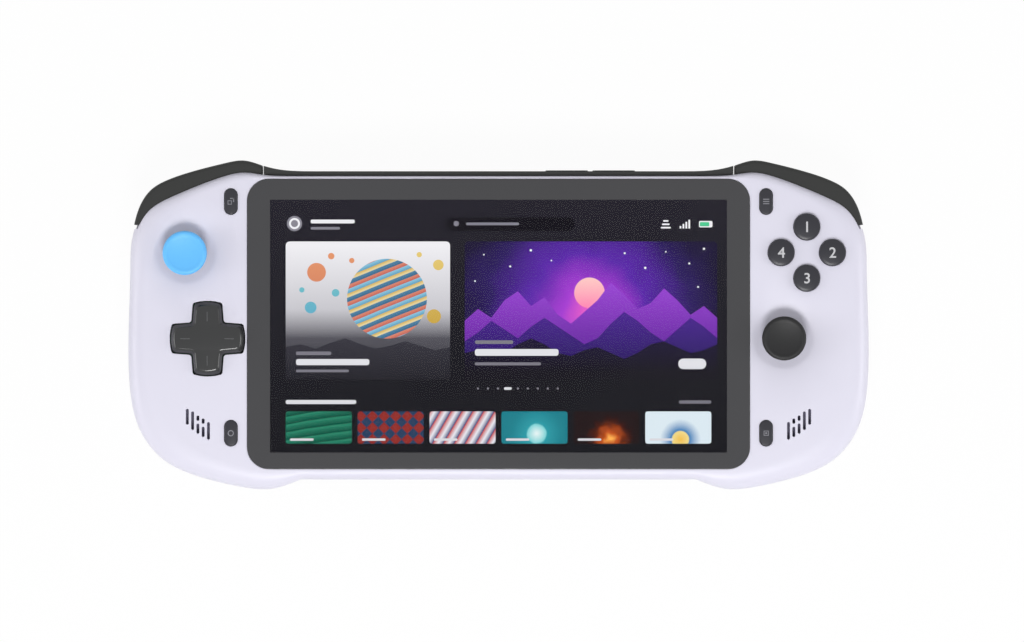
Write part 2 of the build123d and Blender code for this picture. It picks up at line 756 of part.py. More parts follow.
def make_slider():
    knob = key_bar(slider_x, (key_low_y, trim_y - running), key_z, slider_length, slider_width)
    flange_y = (key_low_y, edge_y - wall - 2 * running)
    flange = key_bar(slider_x, flange_y, key_z, slider_length + slider_travel + 2 * flange_width + 2 * play,
                     slider_width + 2 * flange_width + 2 * play)
    return knob + flange


def make_key_board():
    x = (slider_x - slider_length, volume_centres[1] + volume_length / 2 + wall)
    y = (key_board_y, key_board_y + key_board_thickness)
    return span_box(x, y, (slab_floor_z, key_z + key_width / 2 + wall))


# Sticks, each built round its pivot
def make_stick_housing():
    half = housing_side / 2
    inner = housing_side - 2 * housing_wall
    side = (-half, half)
    body = span_box(side, side, (housing_low, housing_rise))
    body = chamfer(body.edges().filter_by(Axis.Z), housing_corner)
    floor_z = housing_low + housing_wall
    body -= span_box((-inner / 2, inner / 2), (-inner / 2, inner / 2), (floor_z, housing_rise + overrun))
    base = plate((0, 0), (base_side, base_side), (base_low, housing_low), base_thickness)
    for side in (1, -1):
        at = (side * base_screw_reach, -side * base_screw_reach)
        base -= screw_hole(at, base_low - overrun, housing_low + overrun)
    span = (-half - overrun, half + overrun)
    radius = trunnion_radius + running
    return body + base - along_x(span, 0, 0, radius) - along_y(0, span, 0, radius)


def make_stick_cradle():
    lean = radians(stick_tilt)
    window_x = post_radius / cos(lean) + cradle_half_z * tan(lean) + slot_gap
    window_y = post_radius + slot_gap
    body = Box(2 * cradle_half_x, 2 * cradle_half_y, 2 * cradle_half_z)
    body += along_x((-housing_side / 2, housing_side / 2), 0, 0, trunnion_radius)
    body -= Box(2 * window_x, 2 * window_y, 2 * cradle_half_z + overrun)
    return body - along_y(0, (-housing_side / 2, housing_side / 2), 0, cradle_pin_radius + running)


def make_stick_yoke():
    width = (-arch_half_width, arch_half_width)
    ring = along_x(width, 0, 0, arch_outer) - along_x((-housing_side, housing_side), 0, 0, arch_radius)
    arch = ring & span_box(width, (-arch_outer, arch_outer), (-trunnion_radius, arch_outer))
    lean = radians(stick_tilt)
    reach = arch_outer * sin(lean) + post_radius + 2 * slot_gap
    slot = post_radius + slot_gap
    arch -= span_box((-slot, slot), (-reach, reach), (0, arch_outer + overrun))
    inner = (arch_radius + arch_outer) / 2
    for side in (1, -1):
        arch += along_y(0, sorted((side * inner, side * housing_side / 2)), 0, trunnion_radius)
    return arch


def make_stick_post():
    post = rod((0, 0), (-cradle_half_z - trunnion_radius, post_top), post_radius)
    return post + along_y(0, (-cradle_half_y, cradle_half_y), 0, cradle_pin_radius)


def make_stick_cap():
    top = cap_low + cap_height
    neck_low = arch_outer + neck_gap
    rim = cap_radius - cap_edge
    edge = cap_edge * (1 - sqrt(0.5))
    profile = [
        Line((0, neck_low), (neck_radius, neck_low)),
        Line((neck_radius, neck_low), (neck_radius, cap_low)),
        Line((neck_radius, cap_low), (rim, cap_low)),
        ThreePointArc((rim, cap_low), (cap_radius - edge, cap_low + edge), (cap_radius, cap_low + cap_edge)),
        Line((cap_radius, cap_low + cap_edge), (cap_radius, top - cap_edge)),
        ThreePointArc((cap_radius, top - cap_edge), (cap_radius - edge, top - edge), (rim, top)),
        axis_arc(rim, top, top - cap_dish),
        Line((0, top - cap_dish), (0, neck_low)),
    ]
    cap = revolve(Plane.XZ * make_face(profile), Axis.Z)
    skirt = Sphere(skirt_radius) - Sphere(skirt_radius - skirt_thickness)
    low = skirt_radius * cos(radians(skirt_reach))
    side = (-cap_radius * 2, cap_radius * 2)
    skirt &= span_box(side, side, (low, skirt_radius))
    bore = rod((0, 0), (0, post_top + stick_click + running), post_radius + running)
    return cap + skirt - bore


# D-pad, built round its pivot
def make_dpad_cross():
    low = dpad_flange_z - dpad_pivot_z
    face = dpad_pivot_drop
    body = extrude(cross_outline(dpad_arm, dpad_reach, low), face - low)
    flange = cross(dpad_arm + 2 * dpad_flange, dpad_reach, (low, low + dpad_flange))
    crown = cross_crown(face, face + dpad_rise)
    socket = Sphere(dpad_socket_radius) + rod((0, 0), (low - overrun, 0), dpad_socket_radius)
    return body + flange + crown - socket


def cross_outline(arm, reach, z):
    # Cross with tapered arms, bulged ends and rounded corners
    half, root, edge = arm / 2, arm / 2 + dpad_taper, reach - dpad_bulge
    arm_edges = [
        Line((root, root), (edge, half)), ThreePointArc((edge, half), (reach, 0), (edge, -half)),
        Line((edge, -half), (root, -root)),
    ]
    outline = make_face([Rot(0, 0, -90 * n) * line for n in range(4) for line in arm_edges])
    return Pos(0, 0, z) * fillet(outline.vertices(), dpad_corner)


def cross_crown(low, high):
    # The drafted part above the face
    top = cross_outline(dpad_top_arm, dpad_reach - dpad_draft, high)
    return loft([cross_outline(dpad_arm, dpad_reach, low), top], ruled=True)


def make_dpad_pivot():
    inner = dpad_ball_radius + running
    shell = Sphere(inner + dpad_cap_thickness) - Sphere(inner)
    side = 2 * dpad_reach
    return shell & span_box((-side, side), (-side, side), (-dpad_cap_thickness, side))


def make_dpad_base():
    low = board_top_z - dpad_pivot_z
    size = (dpad_base_side, dpad_base_side)
    foot = plate((0, 0), size, (low, low + dpad_base_thickness), dpad_base_thickness)
    return foot + rod((0, 0), (low, 0), dpad_post_radius) + Sphere(dpad_ball_radius)


def make_dpad_pad():
    low, high = board_top_z, board_top_z + pad_thickness
    pad = cross(dpad_arm, dpad_reach, (low, high)) - cross_room_for_base(low, high)
    for x, y in ((1, 0), (-1, 0), (0, 1), (0, -1)):
        at = (x * (dpad_reach - dpad_dome_inset), y * (dpad_reach - dpad_dome_inset))
        pad += rod(at, (high, high + dpad_dome_height), dpad_dome_radius)
    return pad


def cross_room_for_base(low, high):
    side = dpad_base_side + 2 * close
    return span_box((-side / 2, side / 2), (-side / 2, side / 2), (low - overrun, high + overrun))


# Buttons
def make_button(at):
    top = face_z + button_rise
    edge = button_dome
    rim = button_radius - edge
    bend = edge * (1 - sqrt(0.5))
    profile = [
        Line((0, button_low_z), (button_radius, button_low_z)),
        Line((button_radius, button_low_z), (button_radius, top - 2 * edge)),
        ThreePointArc((button_radius, top - 2 * edge), (button_radius - bend, top - edge - bend),
                      (rim, top - edge)),
        axis_arc(rim, top - edge, top),
        Line((0, top), (0, button_low_z)),
    ]
    cap = revolve(Plane.XZ * make_face(profile), Axis.Z)
    flange = rod((0, 0), (flange_low_z, flange_low_z + flange_thickness), button_radius + flange_width)
    return Pos(*at, 0) * (cap + flange)


def make_face_pad():
    low, high = board_top_z, board_top_z + pad_thickness
    dome_top = button_low_z - button_travel - 2 * running
    pad = rod(cluster_at, (low, high), button_pitch - pad_lobe_radius / 2)
    for at in button_places.values():
        pad += rod(at, (low, high), pad_lobe_radius)
        pad += rod(at, (high, dome_top), dome_radius)
    return pad


def make_capsule(at):
    top = face_z + capsule_rise
    cap = capsule(at, (capsule_width, capsule_height), (capsule_low_z, top))
    cap = fillet(cap.faces().sort_by(Axis.Z)[-1].edges(), capsule_edge)
    size = (capsule_width + 2 * capsule_flange, capsule_height + 2 * capsule_flange)
    return cap + capsule(at, size, (flange_low_z, flange_low_z + flange_thickness))


def make_capsule_pads():
    size = (capsule_width - 2 * capsule_flange, capsule_height - 2 * capsule_flange)
    high = capsule_low_z - capsule_travel - 2 * running
    return [capsule(at, size, (board_top_z, high)) for at in capsule_places.values()]


# Screen
def make_glass():
    z = (glass_low_z, face_z + glass_proud)
    glass = plate((0, glass_y), (glass_length, glass_height), z, glass_corner)
    return chamfer(glass.faces().sort_by(Axis.Z)[-1].edges(), glass_proud / 2)


def make_gasket():
    ring = plate((0, glass_y), (glass_length, glass_height), (ledge_z, glass_low_z), glass_corner)
    inner = (glass_length - 2 * gasket_width, glass_height - 2 * gasket_width)
    z = (ledge_z - overrun, glass_low_z + overrun)
    return ring - plate((0, glass_y), inner, z, glass_corner - gasket_width)


def make_panel():
    size = (glass_length - 2 * (ledge_width + panel_gap), glass_height - 2 * (ledge_width + panel_gap))
    return plate((0, glass_y), size, (panel_low_z, glass_low_z), glass_corner - ledge_width)


def make_mid_frame():
    x = half_glass - frame_inset
    low, high = glass_bottom + frame_low_inset, glass_top - frame_top_inset
    frame = span_box((-x, x), (low, high), (frame_low_z, panel_low_z))
    cuts = [screw_hole(at, frame_low_z - overrun, panel_low_z + overrun) for at in at_both(frame_screws_at)]
    cuts.append(span_box(ribbon_window_x, ribbon_window_y, (frame_low_z - overrun, panel_low_z + overrun)))
    return frame - cuts


# Boards and what they carry
def make_control_board(stick_at, side):
    # The right one: a strip under the small buttons, a wide middle and a tab for the bumper's switch
    low_x, strip_x, high_x = board_spans_x
    low_y, strip_low_y, strip_high_y, high_y = board_spans_y
    z = (control_board_z, board_top_z)
    board = span_box((low_x, strip_x), (low_y, strip_high_y), z)
    middle = span_box((low_x, high_x), (strip_low_y, high_y), z)
    middle = chamfer(middle.edges().filter_by(Axis.Z).sort_by(Axis.X)[-2:].sort_by(Axis.Y)[-1:], board_corner)
    tab = (switch_x - board_tab_width / 2, switch_x + board_tab_width / 2)
    board = board + middle + span_box(tab, (high_y - overrun, high_y + board_tab_reach), z)
    board -= [screw_hole(at, control_board_z - overrun, board_top_z + overrun) for at in board_screws_at]
    if side < 0:
        board = mirrored(board)
    return board - rod(stick_at, (control_board_z - overrun, board_top_z + overrun), board_hole_radius)


def make_main_board():
    z = (main_board_z, main_top_z)
    board = span_box((main_low_x, main_high_x), (main_step_y, main_high_y), z)
    board += span_box((strip_low_x, main_high_x), (main_low_y, main_step_y), z)
    cuts = [screw_hole(at, main_board_z - overrun, main_top_z + overrun) for at in main_screws_at]
    usb_end_y = bottom_y + usb_length + usb_recess
    jack_end_y = bottom_y + jack_length + jack_end
    for x, width, end_y in ((0, usb_width, usb_end_y), (jack_x, jack_body_width, jack_end_y)):
        half = width / 2 + close
        cuts.append(span_box((x - half, x + half), (bottom_y, end_y + close),
                             (main_board_z - overrun, main_top_z + overrun)))
    return board - cuts


def make_usb_port():
    y = (bottom_y + usb_recess, bottom_y + usb_recess + usb_length)
    body = key_bar(0, y, port_z, usb_width, usb_height)
    body -= key_bar(0, (y[0] - overrun, y[1] - usb_end), port_z, usb_mouth_width, usb_mouth_height)
    half_width, half_height_tongue = usb_tongue_width / 2, usb_tongue_height / 2
    tongue_y = (y[1] - usb_end - usb_tongue_length, y[1] - usb_end / 2)
    return body + span_box((-half_width, half_width), tongue_y,
                           (port_z - half_height_tongue, port_z + half_height_tongue))


def make_headphone_jack():
    nose = along_y(jack_x, (bottom_y, bottom_y + wall + play), port_z, jack_radius + jack_wall)
    half = jack_body_width / 2
    y = (bottom_y + wall + play / 2, bottom_y + jack_length + jack_end)
    body = span_box((jack_x - half, jack_x + half), y,
                    (port_z - jack_body_height / 2, port_z + jack_body_height / 2))
    return nose + body - along_y(jack_x, (bottom_y - overrun, bottom_y + jack_length), port_z, jack_radius)


def make_battery():
    return plate(battery_at, battery_size, (slab_floor_z, slab_floor_z + battery_thickness), wall)


def make_processor():
    z = (main_top_z, main_top_z + processor_height)
    return plate(processor_at, (processor_side, processor_side), z, wall / 4)


def make_shield():
    x, y = processor_at
    z = (main_top_z, main_top_z + shield_height)
    can = plate((x, y), shield_size, z, wall / 2)
    inner = (shield_size[0] - 2 * shield_wall, shield_size[1] - 2 * shield_wall)
    return can - plate((x, y), inner, (z[0] - overrun, z[1] - shield_wall), wall / 4)


def make_spreader():
    low = main_top_z + shield_height
    return plate(processor_at, spreader_size, (low, low + spreader_thickness), wall)


def make_control_ribbons():
    low_y, high_y = ribbon_y - ribbon_width / 2, ribbon_y + ribbon_width / 2
    z = (main_top_z, control_board_z)
    reach = board_spans_x[0] + ribbon_width / 2
    right = span_box((main_high_x - ribbon_width, reach), (low_y, high_y), z)
    left = span_box((-reach, strip_low_x + ribbon_width), (low_y, high_y), z)
    return [left, right]


def make_display_ribbon():
    x, y = ribbon_window_x, ribbon_window_y
    x = (x[0] + panel_gap, x[1] - panel_gap)
    wall_y = (y[0] + y[1]) / 2
    lower = span_box(x, (wall_y, wall_y + ribbon_width / 2), (main_top_z, main_top_z + ribbon_thickness))
    riser = span_box(x, (wall_y - ribbon_thickness, wall_y), (main_top_z, panel_low_z))
    upper = span_box(x, (y[0] + panel_gap, wall_y), (panel_low_z - ribbon_thickness, panel_low_z))
    return lower + riser + upper


def board_screw(at, seat_z, up):
    # up is 1 where the shank points up from its seat, and -1 where it points down
    head = rod(at, sorted((seat_z, seat_z - up * board_screw_head)), board_screw_head_radius)
    return head + rod(at, sorted((seat_z, seat_z + up * board_screw_length)), board_screw_radius)


def make_board_screws():
    screws = [board_screw(at, control_board_z, 1) for at in at_both(board_screws_at)]
    screws += [board_screw(at, frame_low_z, 1) for at in at_both(frame_screws_at)]
    screws += [board_screw(at, main_top_z, -1) for at in main_screws_at]
    screws += [board_screw(at, pivot_z + housing_low, -1) for at in grip_posts()]
    return screws


def make_case_screws():
    screws = []
    for at in at_both(case_screws_at):
        head = rod(at, (head_seat_z - screw_head, head_seat_z), screw_head_radius)
        socket = extrude(Pos(*at, head_seat_z - screw_head) * RegularPolygon(screw_radius, 6), screw_head / 2)
        screws.append(head + rod(at, (head_seat_z, head_seat_z + screw_length), screw_radius) - socket)
    return screws


def make_bumper_switches():
    switches = []
    low_y = board_spans_y[3] + board_tab_reach - switch_depth
    for side in (1, -1):
        x = side * switch_x
        half = switch_width / 2
        body = span_box((x - half, x + half), (low_y, low_y + switch_depth),
                        (board_top_z, board_top_z + switch_height))
        tip = (low_y + switch_depth, low_y + switch_depth + switch_plunger)
        switches.append(body + along_y(x, tip, board_top_z + switch_height / 2, switch_plunger_radius))
    return switches


def make_speaker(side):
    x, y = side * speaker_at[0], speaker_at[1]
    high = speaker_z - mesh_thickness
    body = plate((x, y), (speaker_width, speaker_height), (high - speaker_depth, high), wall / 2)
    cone = (speaker_width - 2 * wall, speaker_height - 2 * wall)
    return body - plate((x, y), cone, (high - wall / 2, high + overrun), wall / 2)


def make_motor(side):
    x = side * place(foot_centre_share)[0]
    return plate((x, motor_y), (motor_length, motor_width), (wall, wall + motor_height), wall)


def at_pivot(shape, at):
    return Pos(at[0], at[1], pivot_z) * shape


def all_pieces():
    pieces = {
        "front_shell": make_front_shell(),
        "rear_shell": make_rear_shell(),
        "top_trim": make_top_trim(),
        "display_glass": make_glass(),
        "display_gasket": make_gasket(),
        "display_panel": make_panel(),
        "mid_frame": make_mid_frame(),
        "main_board": make_main_board(),
        "processor": make_processor(),
        "processor_shield": make_shield(),
        "heat_spreader": make_spreader(),
        "battery": make_battery(),
        "usb_port": make_usb_port(),
        "headphone_jack": make_headphone_jack(),
        "display_ribbon": make_display_ribbon(),
        "control_ribbons": make_control_ribbons(),
        "left_control_board": make_control_board(left_stick, -1),
        "right_control_board": make_control_board(right_stick, 1),
        "board_screws": make_board_screws(),
        "case_screws": make_case_screws(),
        "top_key_board": make_key_board(),
        "volume_down": make_volume_key(volume_centres[0]),
        "volume_up": make_volume_key(volume_centres[1]),
        "power_slider": make_slider(),
        "bumper_switches": make_bumper_switches(),
        "dpad_cross": Pos(*dpad_at, dpad_pivot_z) * make_dpad_cross(),
        "dpad_pivot": Pos(*dpad_at, dpad_pivot_z) * make_dpad_pivot(),
        "dpad_base": Pos(*dpad_at, dpad_pivot_z) * make_dpad_base(),
        "dpad_pad": Pos(*dpad_at, 0) * make_dpad_pad(),
        "face_button_pad": make_face_pad(),
        "small_button_pads": make_capsule_pads(),
        "left_speaker": make_speaker(-1),
        "right_speaker": make_speaker(1),
        "left_rumble_motor": make_motor(-1),
        "right_rumble_motor": make_motor(1),
    }
    mesh = (speaker_width, speaker_height)
    mesh_z = (speaker_z - mesh_thickness, speaker_z)
    pieces["speaker_meshes"] = [plate(at, mesh, mesh_z, wall / 2) for at in at_both([speaker_at])]
    for name, at in button_places.items():
        pieces[name] = make_button(at)
    for name, at in capsule_places.items():
        pieces[name] = make_capsule(at)
    bumper, trigger = make_bumper(), make_trigger()
    pieces["right_bumper"], pieces["left_bumper"] = bumper, mirrored(bumper)
    pieces["right_trigger"], pieces["left_trigger"] = trigger, mirrored(trigger)
    pin_z = (bumper_low_z - play - bumper_pin_bite, bumper_high_z + play + bumper_pin_bite)
    pin_places = at_both([(bumper_pin_x, bumper_pin_y)])
    pieces["bumper_pins"] = [rod(at, pin_z, bumper_pin_radius) for at in pin_places]
    pin_x = (trigger_inner_x - play - ear_thickness, trigger_outer_x + play + ear_thickness)
    pin = along_x(pin_x, trigger_pin_y, trigger_pin_z, trigger_pin_radius)
    pieces["trigger_pins"] = [pin, mirrored(pin)]
    for name, at in (("left_stick", left_stick), ("right_stick", right_stick)):
        pieces[name + "_housing"] = at_pivot(make_stick_housing(), at)
        pieces[name + "_cradle"] = at_pivot(make_stick_cradle(), at)
        pieces[name + "_yoke"] = at_pivot(make_stick_yoke(), at)
        pieces[name + "_post"] = at_pivot(make_stick_post(), at)
        pieces[name + "_cap"] = at_pivot(make_stick_cap(), at)
    return pieces


for name, shape in all_pieces().items():
    solid = Compound(children=shape) if isinstance(shape, list) else shape
    export_step(solid, f"parts/{name}.step")
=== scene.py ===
import json
import bpy
import bmesh
from math import cos, pi, radians, sin, sqrt
from mathutils import Matrix, Vector


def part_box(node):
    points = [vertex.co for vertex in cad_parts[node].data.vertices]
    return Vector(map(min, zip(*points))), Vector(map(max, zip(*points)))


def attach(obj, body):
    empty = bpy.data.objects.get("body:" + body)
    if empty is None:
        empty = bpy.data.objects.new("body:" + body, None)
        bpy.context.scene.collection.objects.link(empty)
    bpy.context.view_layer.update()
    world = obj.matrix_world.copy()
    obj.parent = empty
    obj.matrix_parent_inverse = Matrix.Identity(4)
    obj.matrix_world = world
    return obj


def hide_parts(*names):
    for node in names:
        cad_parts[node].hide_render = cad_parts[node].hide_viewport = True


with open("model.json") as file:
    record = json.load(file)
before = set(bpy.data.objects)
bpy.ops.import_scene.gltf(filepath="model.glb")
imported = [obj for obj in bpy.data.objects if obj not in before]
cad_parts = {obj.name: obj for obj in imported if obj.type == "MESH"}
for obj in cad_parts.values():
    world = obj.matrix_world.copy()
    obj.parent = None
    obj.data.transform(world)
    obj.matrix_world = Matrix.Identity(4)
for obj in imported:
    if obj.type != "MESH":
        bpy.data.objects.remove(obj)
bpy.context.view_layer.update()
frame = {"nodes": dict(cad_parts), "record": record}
nodes = frame["nodes"]
mm = 0.001
# Distances within which points count as one: metres, and text units for text
same = {"weld": 1e-7, "ring": 1e-6, "cadWeld": 2e-6, "textWeld": 1e-5}
sharpAngle = 35
print("frame loaded:", len(nodes), "nodes")


# Helpers used by every piece

def linearFromHex(code):
    # sRGB hex to the linear colour that the shader wants
    channels = [int(code[i:i + 2], 16) / 255 for i in (1, 3, 5)]
    return [c / 12.92 if c <= 0.04045 else ((c + 0.055) / 1.055) ** 2.4 for c in channels] + [1.0]


def addNode(tree, kind, settings=None, inputs=None, stops=None):
    # settings go on the node, inputs on its sockets: a socket is linked, a hex colour or a value is set
    node = tree.nodes.new(kind)
    for key, value in (settings or {}).items():
        setattr(node, key, value)
    for key, value in (inputs or {}).items():
        if isinstance(value, bpy.types.NodeSocket):
            tree.links.new(value, node.inputs[key])
        elif isinstance(value, str):
            node.inputs[key].default_value = linearFromHex(value)
        else:
            node.inputs[key].default_value = value
    for n, (place, colour) in enumerate(stops or []):
        ramp = node.color_ramp.elements
        stop = ramp[n] if n < len(ramp) else ramp.new(place)
        stop.position = place
        stop.color = linearFromHex(colour) if isinstance(colour, str) else (colour, colour, colour, 1)
    return node


def emptyTree(owner):
    owner.use_nodes = True
    owner.node_tree.nodes.clear()
    return owner.node_tree


def markSharp(bm, smoothAngle):
    for face in bm.faces:
        face.smooth = True
    for edge in bm.edges:
        edge.smooth = len(edge.link_faces) == 2 and edge.calc_face_angle(0) < radians(smoothAngle)


def finishMesh(bm, name, materials, smoothAngle=sharpAngle):
    # Closes a bmesh into an object at the origin, smooth except across sharp edges
    markSharp(bm, smoothAngle)
    mesh = bpy.data.meshes.new(name)
    bm.to_mesh(mesh)
    bm.free()
    piece = bpy.data.objects.new(name, mesh)
    bpy.context.scene.collection.objects.link(piece)
    for material in materials:
        mesh.materials.append(material)
    return piece


def cutAway(piece, cutter):
    # Takes the cutter's shape out of the piece for good, and marks the new edges
    modifier = piece.modifiers.new("cut", "BOOLEAN")
    modifier.object = cutter
    modifier.solver = "EXACT"
    bpy.context.view_layer.update()
    mesh = bpy.data.meshes.new_from_object(piece.evaluated_get(bpy.context.evaluated_depsgraph_get()))
    piece.modifiers.clear()
    bpy.data.objects.remove(cutter)
    bm = bmesh.new()
    bm.from_mesh(mesh)
    bmesh.ops.remove_doubles(bm, verts=bm.verts, dist=same["weld"])
    markSharp(bm, sharpAngle)
    bm.to_mesh(mesh)
    bm.free()
    piece.data = mesh


def seat(piece, body, slot, *replaced):
    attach(piece, body)
    if replaced:
        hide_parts(*replaced)
    return piece


def shift(bm, geom, x, y, z):
    verts = [v for v in geom if isinstance(v, bmesh.types.BMVert)]
    bmesh.ops.translate(bm, verts=verts, vec=(x * mm, y * mm, z * mm))
    return verts


def bevelEdges(bm, edges, width, segments=4):
    return bmesh.ops.bevel(bm, geom=list(edges), offset=width * mm, offset_type="OFFSET", segments=segments,
                           profile=0.5, affect="EDGES", clamp_overlap=True, material=-1)


def roundedSlab(bm, centre, size, corner, topZ, thickness, material=0, edge=0, segments=8):
    # A flat plate with rounded corners, its top face at topZ. Millimetres
    made = bmesh.ops.create_grid(bm, x_segments=1, y_segments=1, size=0.5)
    verts = made["verts"]
    bmesh.ops.scale(bm, vec=(size[0] * mm, size[1] * mm, 1), verts=verts)
    shift(bm, verts, centre[0], centre[1], topZ)
    faces = list({f for v in verts for f in v.link_faces})
    if corner > 0:
        made = bmesh.ops.bevel(bm, geom=verts, offset=corner * mm, offset_type="OFFSET", segments=segments,
                               profile=0.5, affect="VERTICES", clamp_overlap=False, material=-1)
        faces = list({f for v in made["verts"] for f in v.link_faces})
    grown = bmesh.ops.extrude_face_region(bm, geom=faces)
    low = shift(bm, grown["geom"], 0, 0, -thickness)
    every = list({f for v in low for f in v.link_faces} | set(faces))
    bmesh.ops.recalc_face_normals(bm, faces=every)
    for face in every:
        face.material_index = material
    if edge > 0:
        rim = {e for f in every for e in f.edges
               if all(abs(v.co.z - topZ * mm) < same["weld"] for v in e.verts)
               and any(abs(g.normal.z) < 0.5 for g in e.link_faces)}
        bevelEdges(bm, rim, edge)
    return low


def turned(bm, centre, profile, steps=96):
    # Spins a profile of (radius, height, rounding) in millimetres round an upright axis
    verts = [bm.verts.new((centre[0] * mm + r * mm, centre[1] * mm, z * mm)) for r, z, rounding in profile]
    edges = [bm.edges.new(pair) for pair in zip(verts, verts[1:])]
    axis = Vector((centre[0] * mm, centre[1] * mm, 0))
    bmesh.ops.spin(bm, geom=verts + edges, cent=axis, axis=(0, 0, 1), angle=2 * pi, steps=steps, use_merge=True)
    bmesh.ops.remove_doubles(bm, verts=bm.verts, dist=same["weld"])
    bmesh.ops.recalc_face_normals(bm, faces=bm.faces)
    for r, z, rounding in profile:
        if rounding > 0:
            ring = [e for e in bm.edges if all(
                abs(v.co.z - z * mm) < same["weld"]
                and abs((v.co - axis).to_2d().length - r * mm) < same["ring"] for v in e.verts)]
            bevelEdges(bm, ring, rounding)


def arcPoints(start, end, centreZ, count):
    # An arc round a centre on the axis, between two (radius, height) points, as rows of a turned profile
    a = Vector((start[0], start[1] - centreZ))
    b = Vector((end[0], end[1] - centreZ))
    points = []
    for n in range(count + 1):
        at = a.slerp(b, n / count) * a.length
        points.append((at[0], at[1] + centreZ, 0))
    return points


def mergedCopy(node, name, material, smoothAngle=30):
    # A CAD node's loose triangles joined into one skin, so that it shades smoothly
    bm = bmesh.new()
    bm.from_mesh(nodes[node].data)
    bmesh.ops.remove_doubles(bm, verts=bm.verts, dist=same["cadWeld"])
    return finishMesh(bm, name, [material], smoothAngle)


def middleOf(node):
    # Middle of a CAD node seen from above, in millimetres
    low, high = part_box(node)
    return ((low + high) / 2 / mm).to_2d()


# Materials

def startMaterial(name):
    material = bpy.data.materials.new(name)
    return material, emptyTree(material)


def startSurface(name):
    # A new material, its tree, and the point on the piece that its patterns are laid by
    material, tree = startMaterial(name)
    return material, tree, addNode(tree, "ShaderNodeTexCoord").outputs["Object"]


def endSurface(material, tree, inputs):
    shader = addNode(tree, "ShaderNodeBsdfPrincipled", inputs=inputs)
    addNode(tree, "ShaderNodeOutputMaterial", inputs={"Surface": shader.outputs["BSDF"]})
    return material


def noiseOf(tree, where, sizeMm, detail, roughness=0.5):
    return addNode(tree, "ShaderNodeTexNoise", inputs={
        "Vector": where, "Scale": 1 / (sizeMm * mm), "Detail": detail, "Roughness": roughness}).outputs["Fac"]


def mixOf(tree, factor, first, second):
    return addNode(tree, "ShaderNodeMix", {"data_type": "RGBA"}, {
        "Factor": factor, "A": first, "B": second}).outputs["Result"]


def spreadOf(tree, value, start, end, low=0.0, high=1.0):
    # The value's range from low to high becomes start to end
    return addNode(tree, "ShaderNodeMapRange", inputs={
        "Value": value, "From Min": low, "From Max": high, "To Min": start, "To Max": end}).outputs["Result"]


def rampOf(tree, share, stops):
    return addNode(tree, "ShaderNodeValToRGB", inputs={"Fac": share}, stops=stops).outputs["Color"]


def bumpOf(tree, height, strength, depthMm, normal=None):
    inputs = {"Strength": strength, "Distance": depthMm * mm, "Height": height}
    if normal is not None:
        inputs["Normal"] = normal
    return addNode(tree, "ShaderNodeBump", inputs=inputs).outputs["Normal"]


# Edge wear and painted highlight start and are full at these cosines between the rounded and the flat normal
plastic = {"edgeWearAndHighlightStarts": 0.97, "edgeWearAndHighlightFull": 0.80, "flowDetail": 3.0, "flowRoughness": 0.55, "grainDetail": 2.0,
           "grainRoughness": 0.6, "grainLow": 0.3, "grainHigh": 0.7, "roughSpread": 0.05, "bumpMm": 0.02,
           "coatRoughness": 0.08, "bevelSamples": 6}


def mouldedPlastic(name, look):
    # Injection-moulded plastic: a spark-eroded grain, faint flow marks in the colour, and rounded edges painted
    # lighter, partly as wear and partly as a painted highlight where edges catch light
    p = plastic
    material, tree, where = startSurface(name)
    flow = noiseOf(tree, where, look["flowMm"], p["flowDetail"], p["flowRoughness"])
    grain = noiseOf(tree, where, look["grainMm"], p["grainDetail"], p["grainRoughness"])
    rounded = addNode(tree, "ShaderNodeBevel", {"samples": p["bevelSamples"]}, {
        "Radius": look["edgeMm"] * mm}).outputs["Normal"]
    flat = addNode(tree, "ShaderNodeNewGeometry").outputs["Normal"]
    facing = addNode(tree, "ShaderNodeVectorMath", {"operation": "DOT_PRODUCT"}, {0: rounded, 1: flat})
    # rounded edges get a lighter colour: partly wear, partly a painted highlight
    edgeWearAndHighlight = spreadOf(tree, facing.outputs["Value"], 0.0, look["edgeWearAndHighlightShare"], p["edgeWearAndHighlightStarts"], p["edgeWearAndHighlightFull"])
    rough = spreadOf(tree, grain, look["roughness"] - p["roughSpread"], look["roughness"] + p["roughSpread"],
                     p["grainLow"], p["grainHigh"])
    return endSurface(material, tree, {
        "Base Color": mixOf(tree, edgeWearAndHighlight, mixOf(tree, flow, look["colour"], look["tint"]), look["edgeWearAndHighlight"]),
        "Roughness": rough, "Normal": bumpOf(tree, grain, look["grainDepth"], p["bumpMm"], rounded),
        "IOR": look["ior"], "Coat Weight": look.get("coat", 0.0), "Coat Roughness": p["coatRoughness"]})


# White ABS of the case: satin, cool, with a lavender cast; its rounded edges are painted lighter, partly wear and
# partly a painted highlight
whiteAbs = mouldedPlastic("whiteAbsSatin", {
    "colour": "#DEDCEA", "tint": "#DBD9E8", "edgeWearAndHighlight": "#F1F0FA", "edgeWearAndHighlightShare": 0.6, "roughness": 0.40, "ior": 1.53,
    "flowMm": 45, "grainMm": 0.45, "grainDepth": 0.10, "edgeMm": 0.25})
# Glass-filled nylon of the bumpers, triggers, trim and keys: matte black with a coarser grain
blackNylon = mouldedPlastic("blackNylonSatin", {
    "colour": "#282928", "tint": "#252625", "edgeWearAndHighlight": "#3A3B3A", "edgeWearAndHighlightShare": 0.6, "roughness": 0.45, "ior": 1.40,
    "flowMm": 20, "grainMm": 0.35, "grainDepth": 0.25, "edgeMm": 0.25})
# Two-shot ABS of the buttons, with a thin clear coat
buttonAbs = mouldedPlastic("buttonAbsSemiGloss", {
    "colour": "#26262E", "tint": "#24242B", "edgeWearAndHighlight": "#3C3C45", "edgeWearAndHighlightShare": 0.5, "roughness": 0.34, "ior": 1.42,
    "flowMm": 12, "grainMm": 0.30, "grainDepth": 0.10, "edgeMm": 0.15, "coat": 0.05})
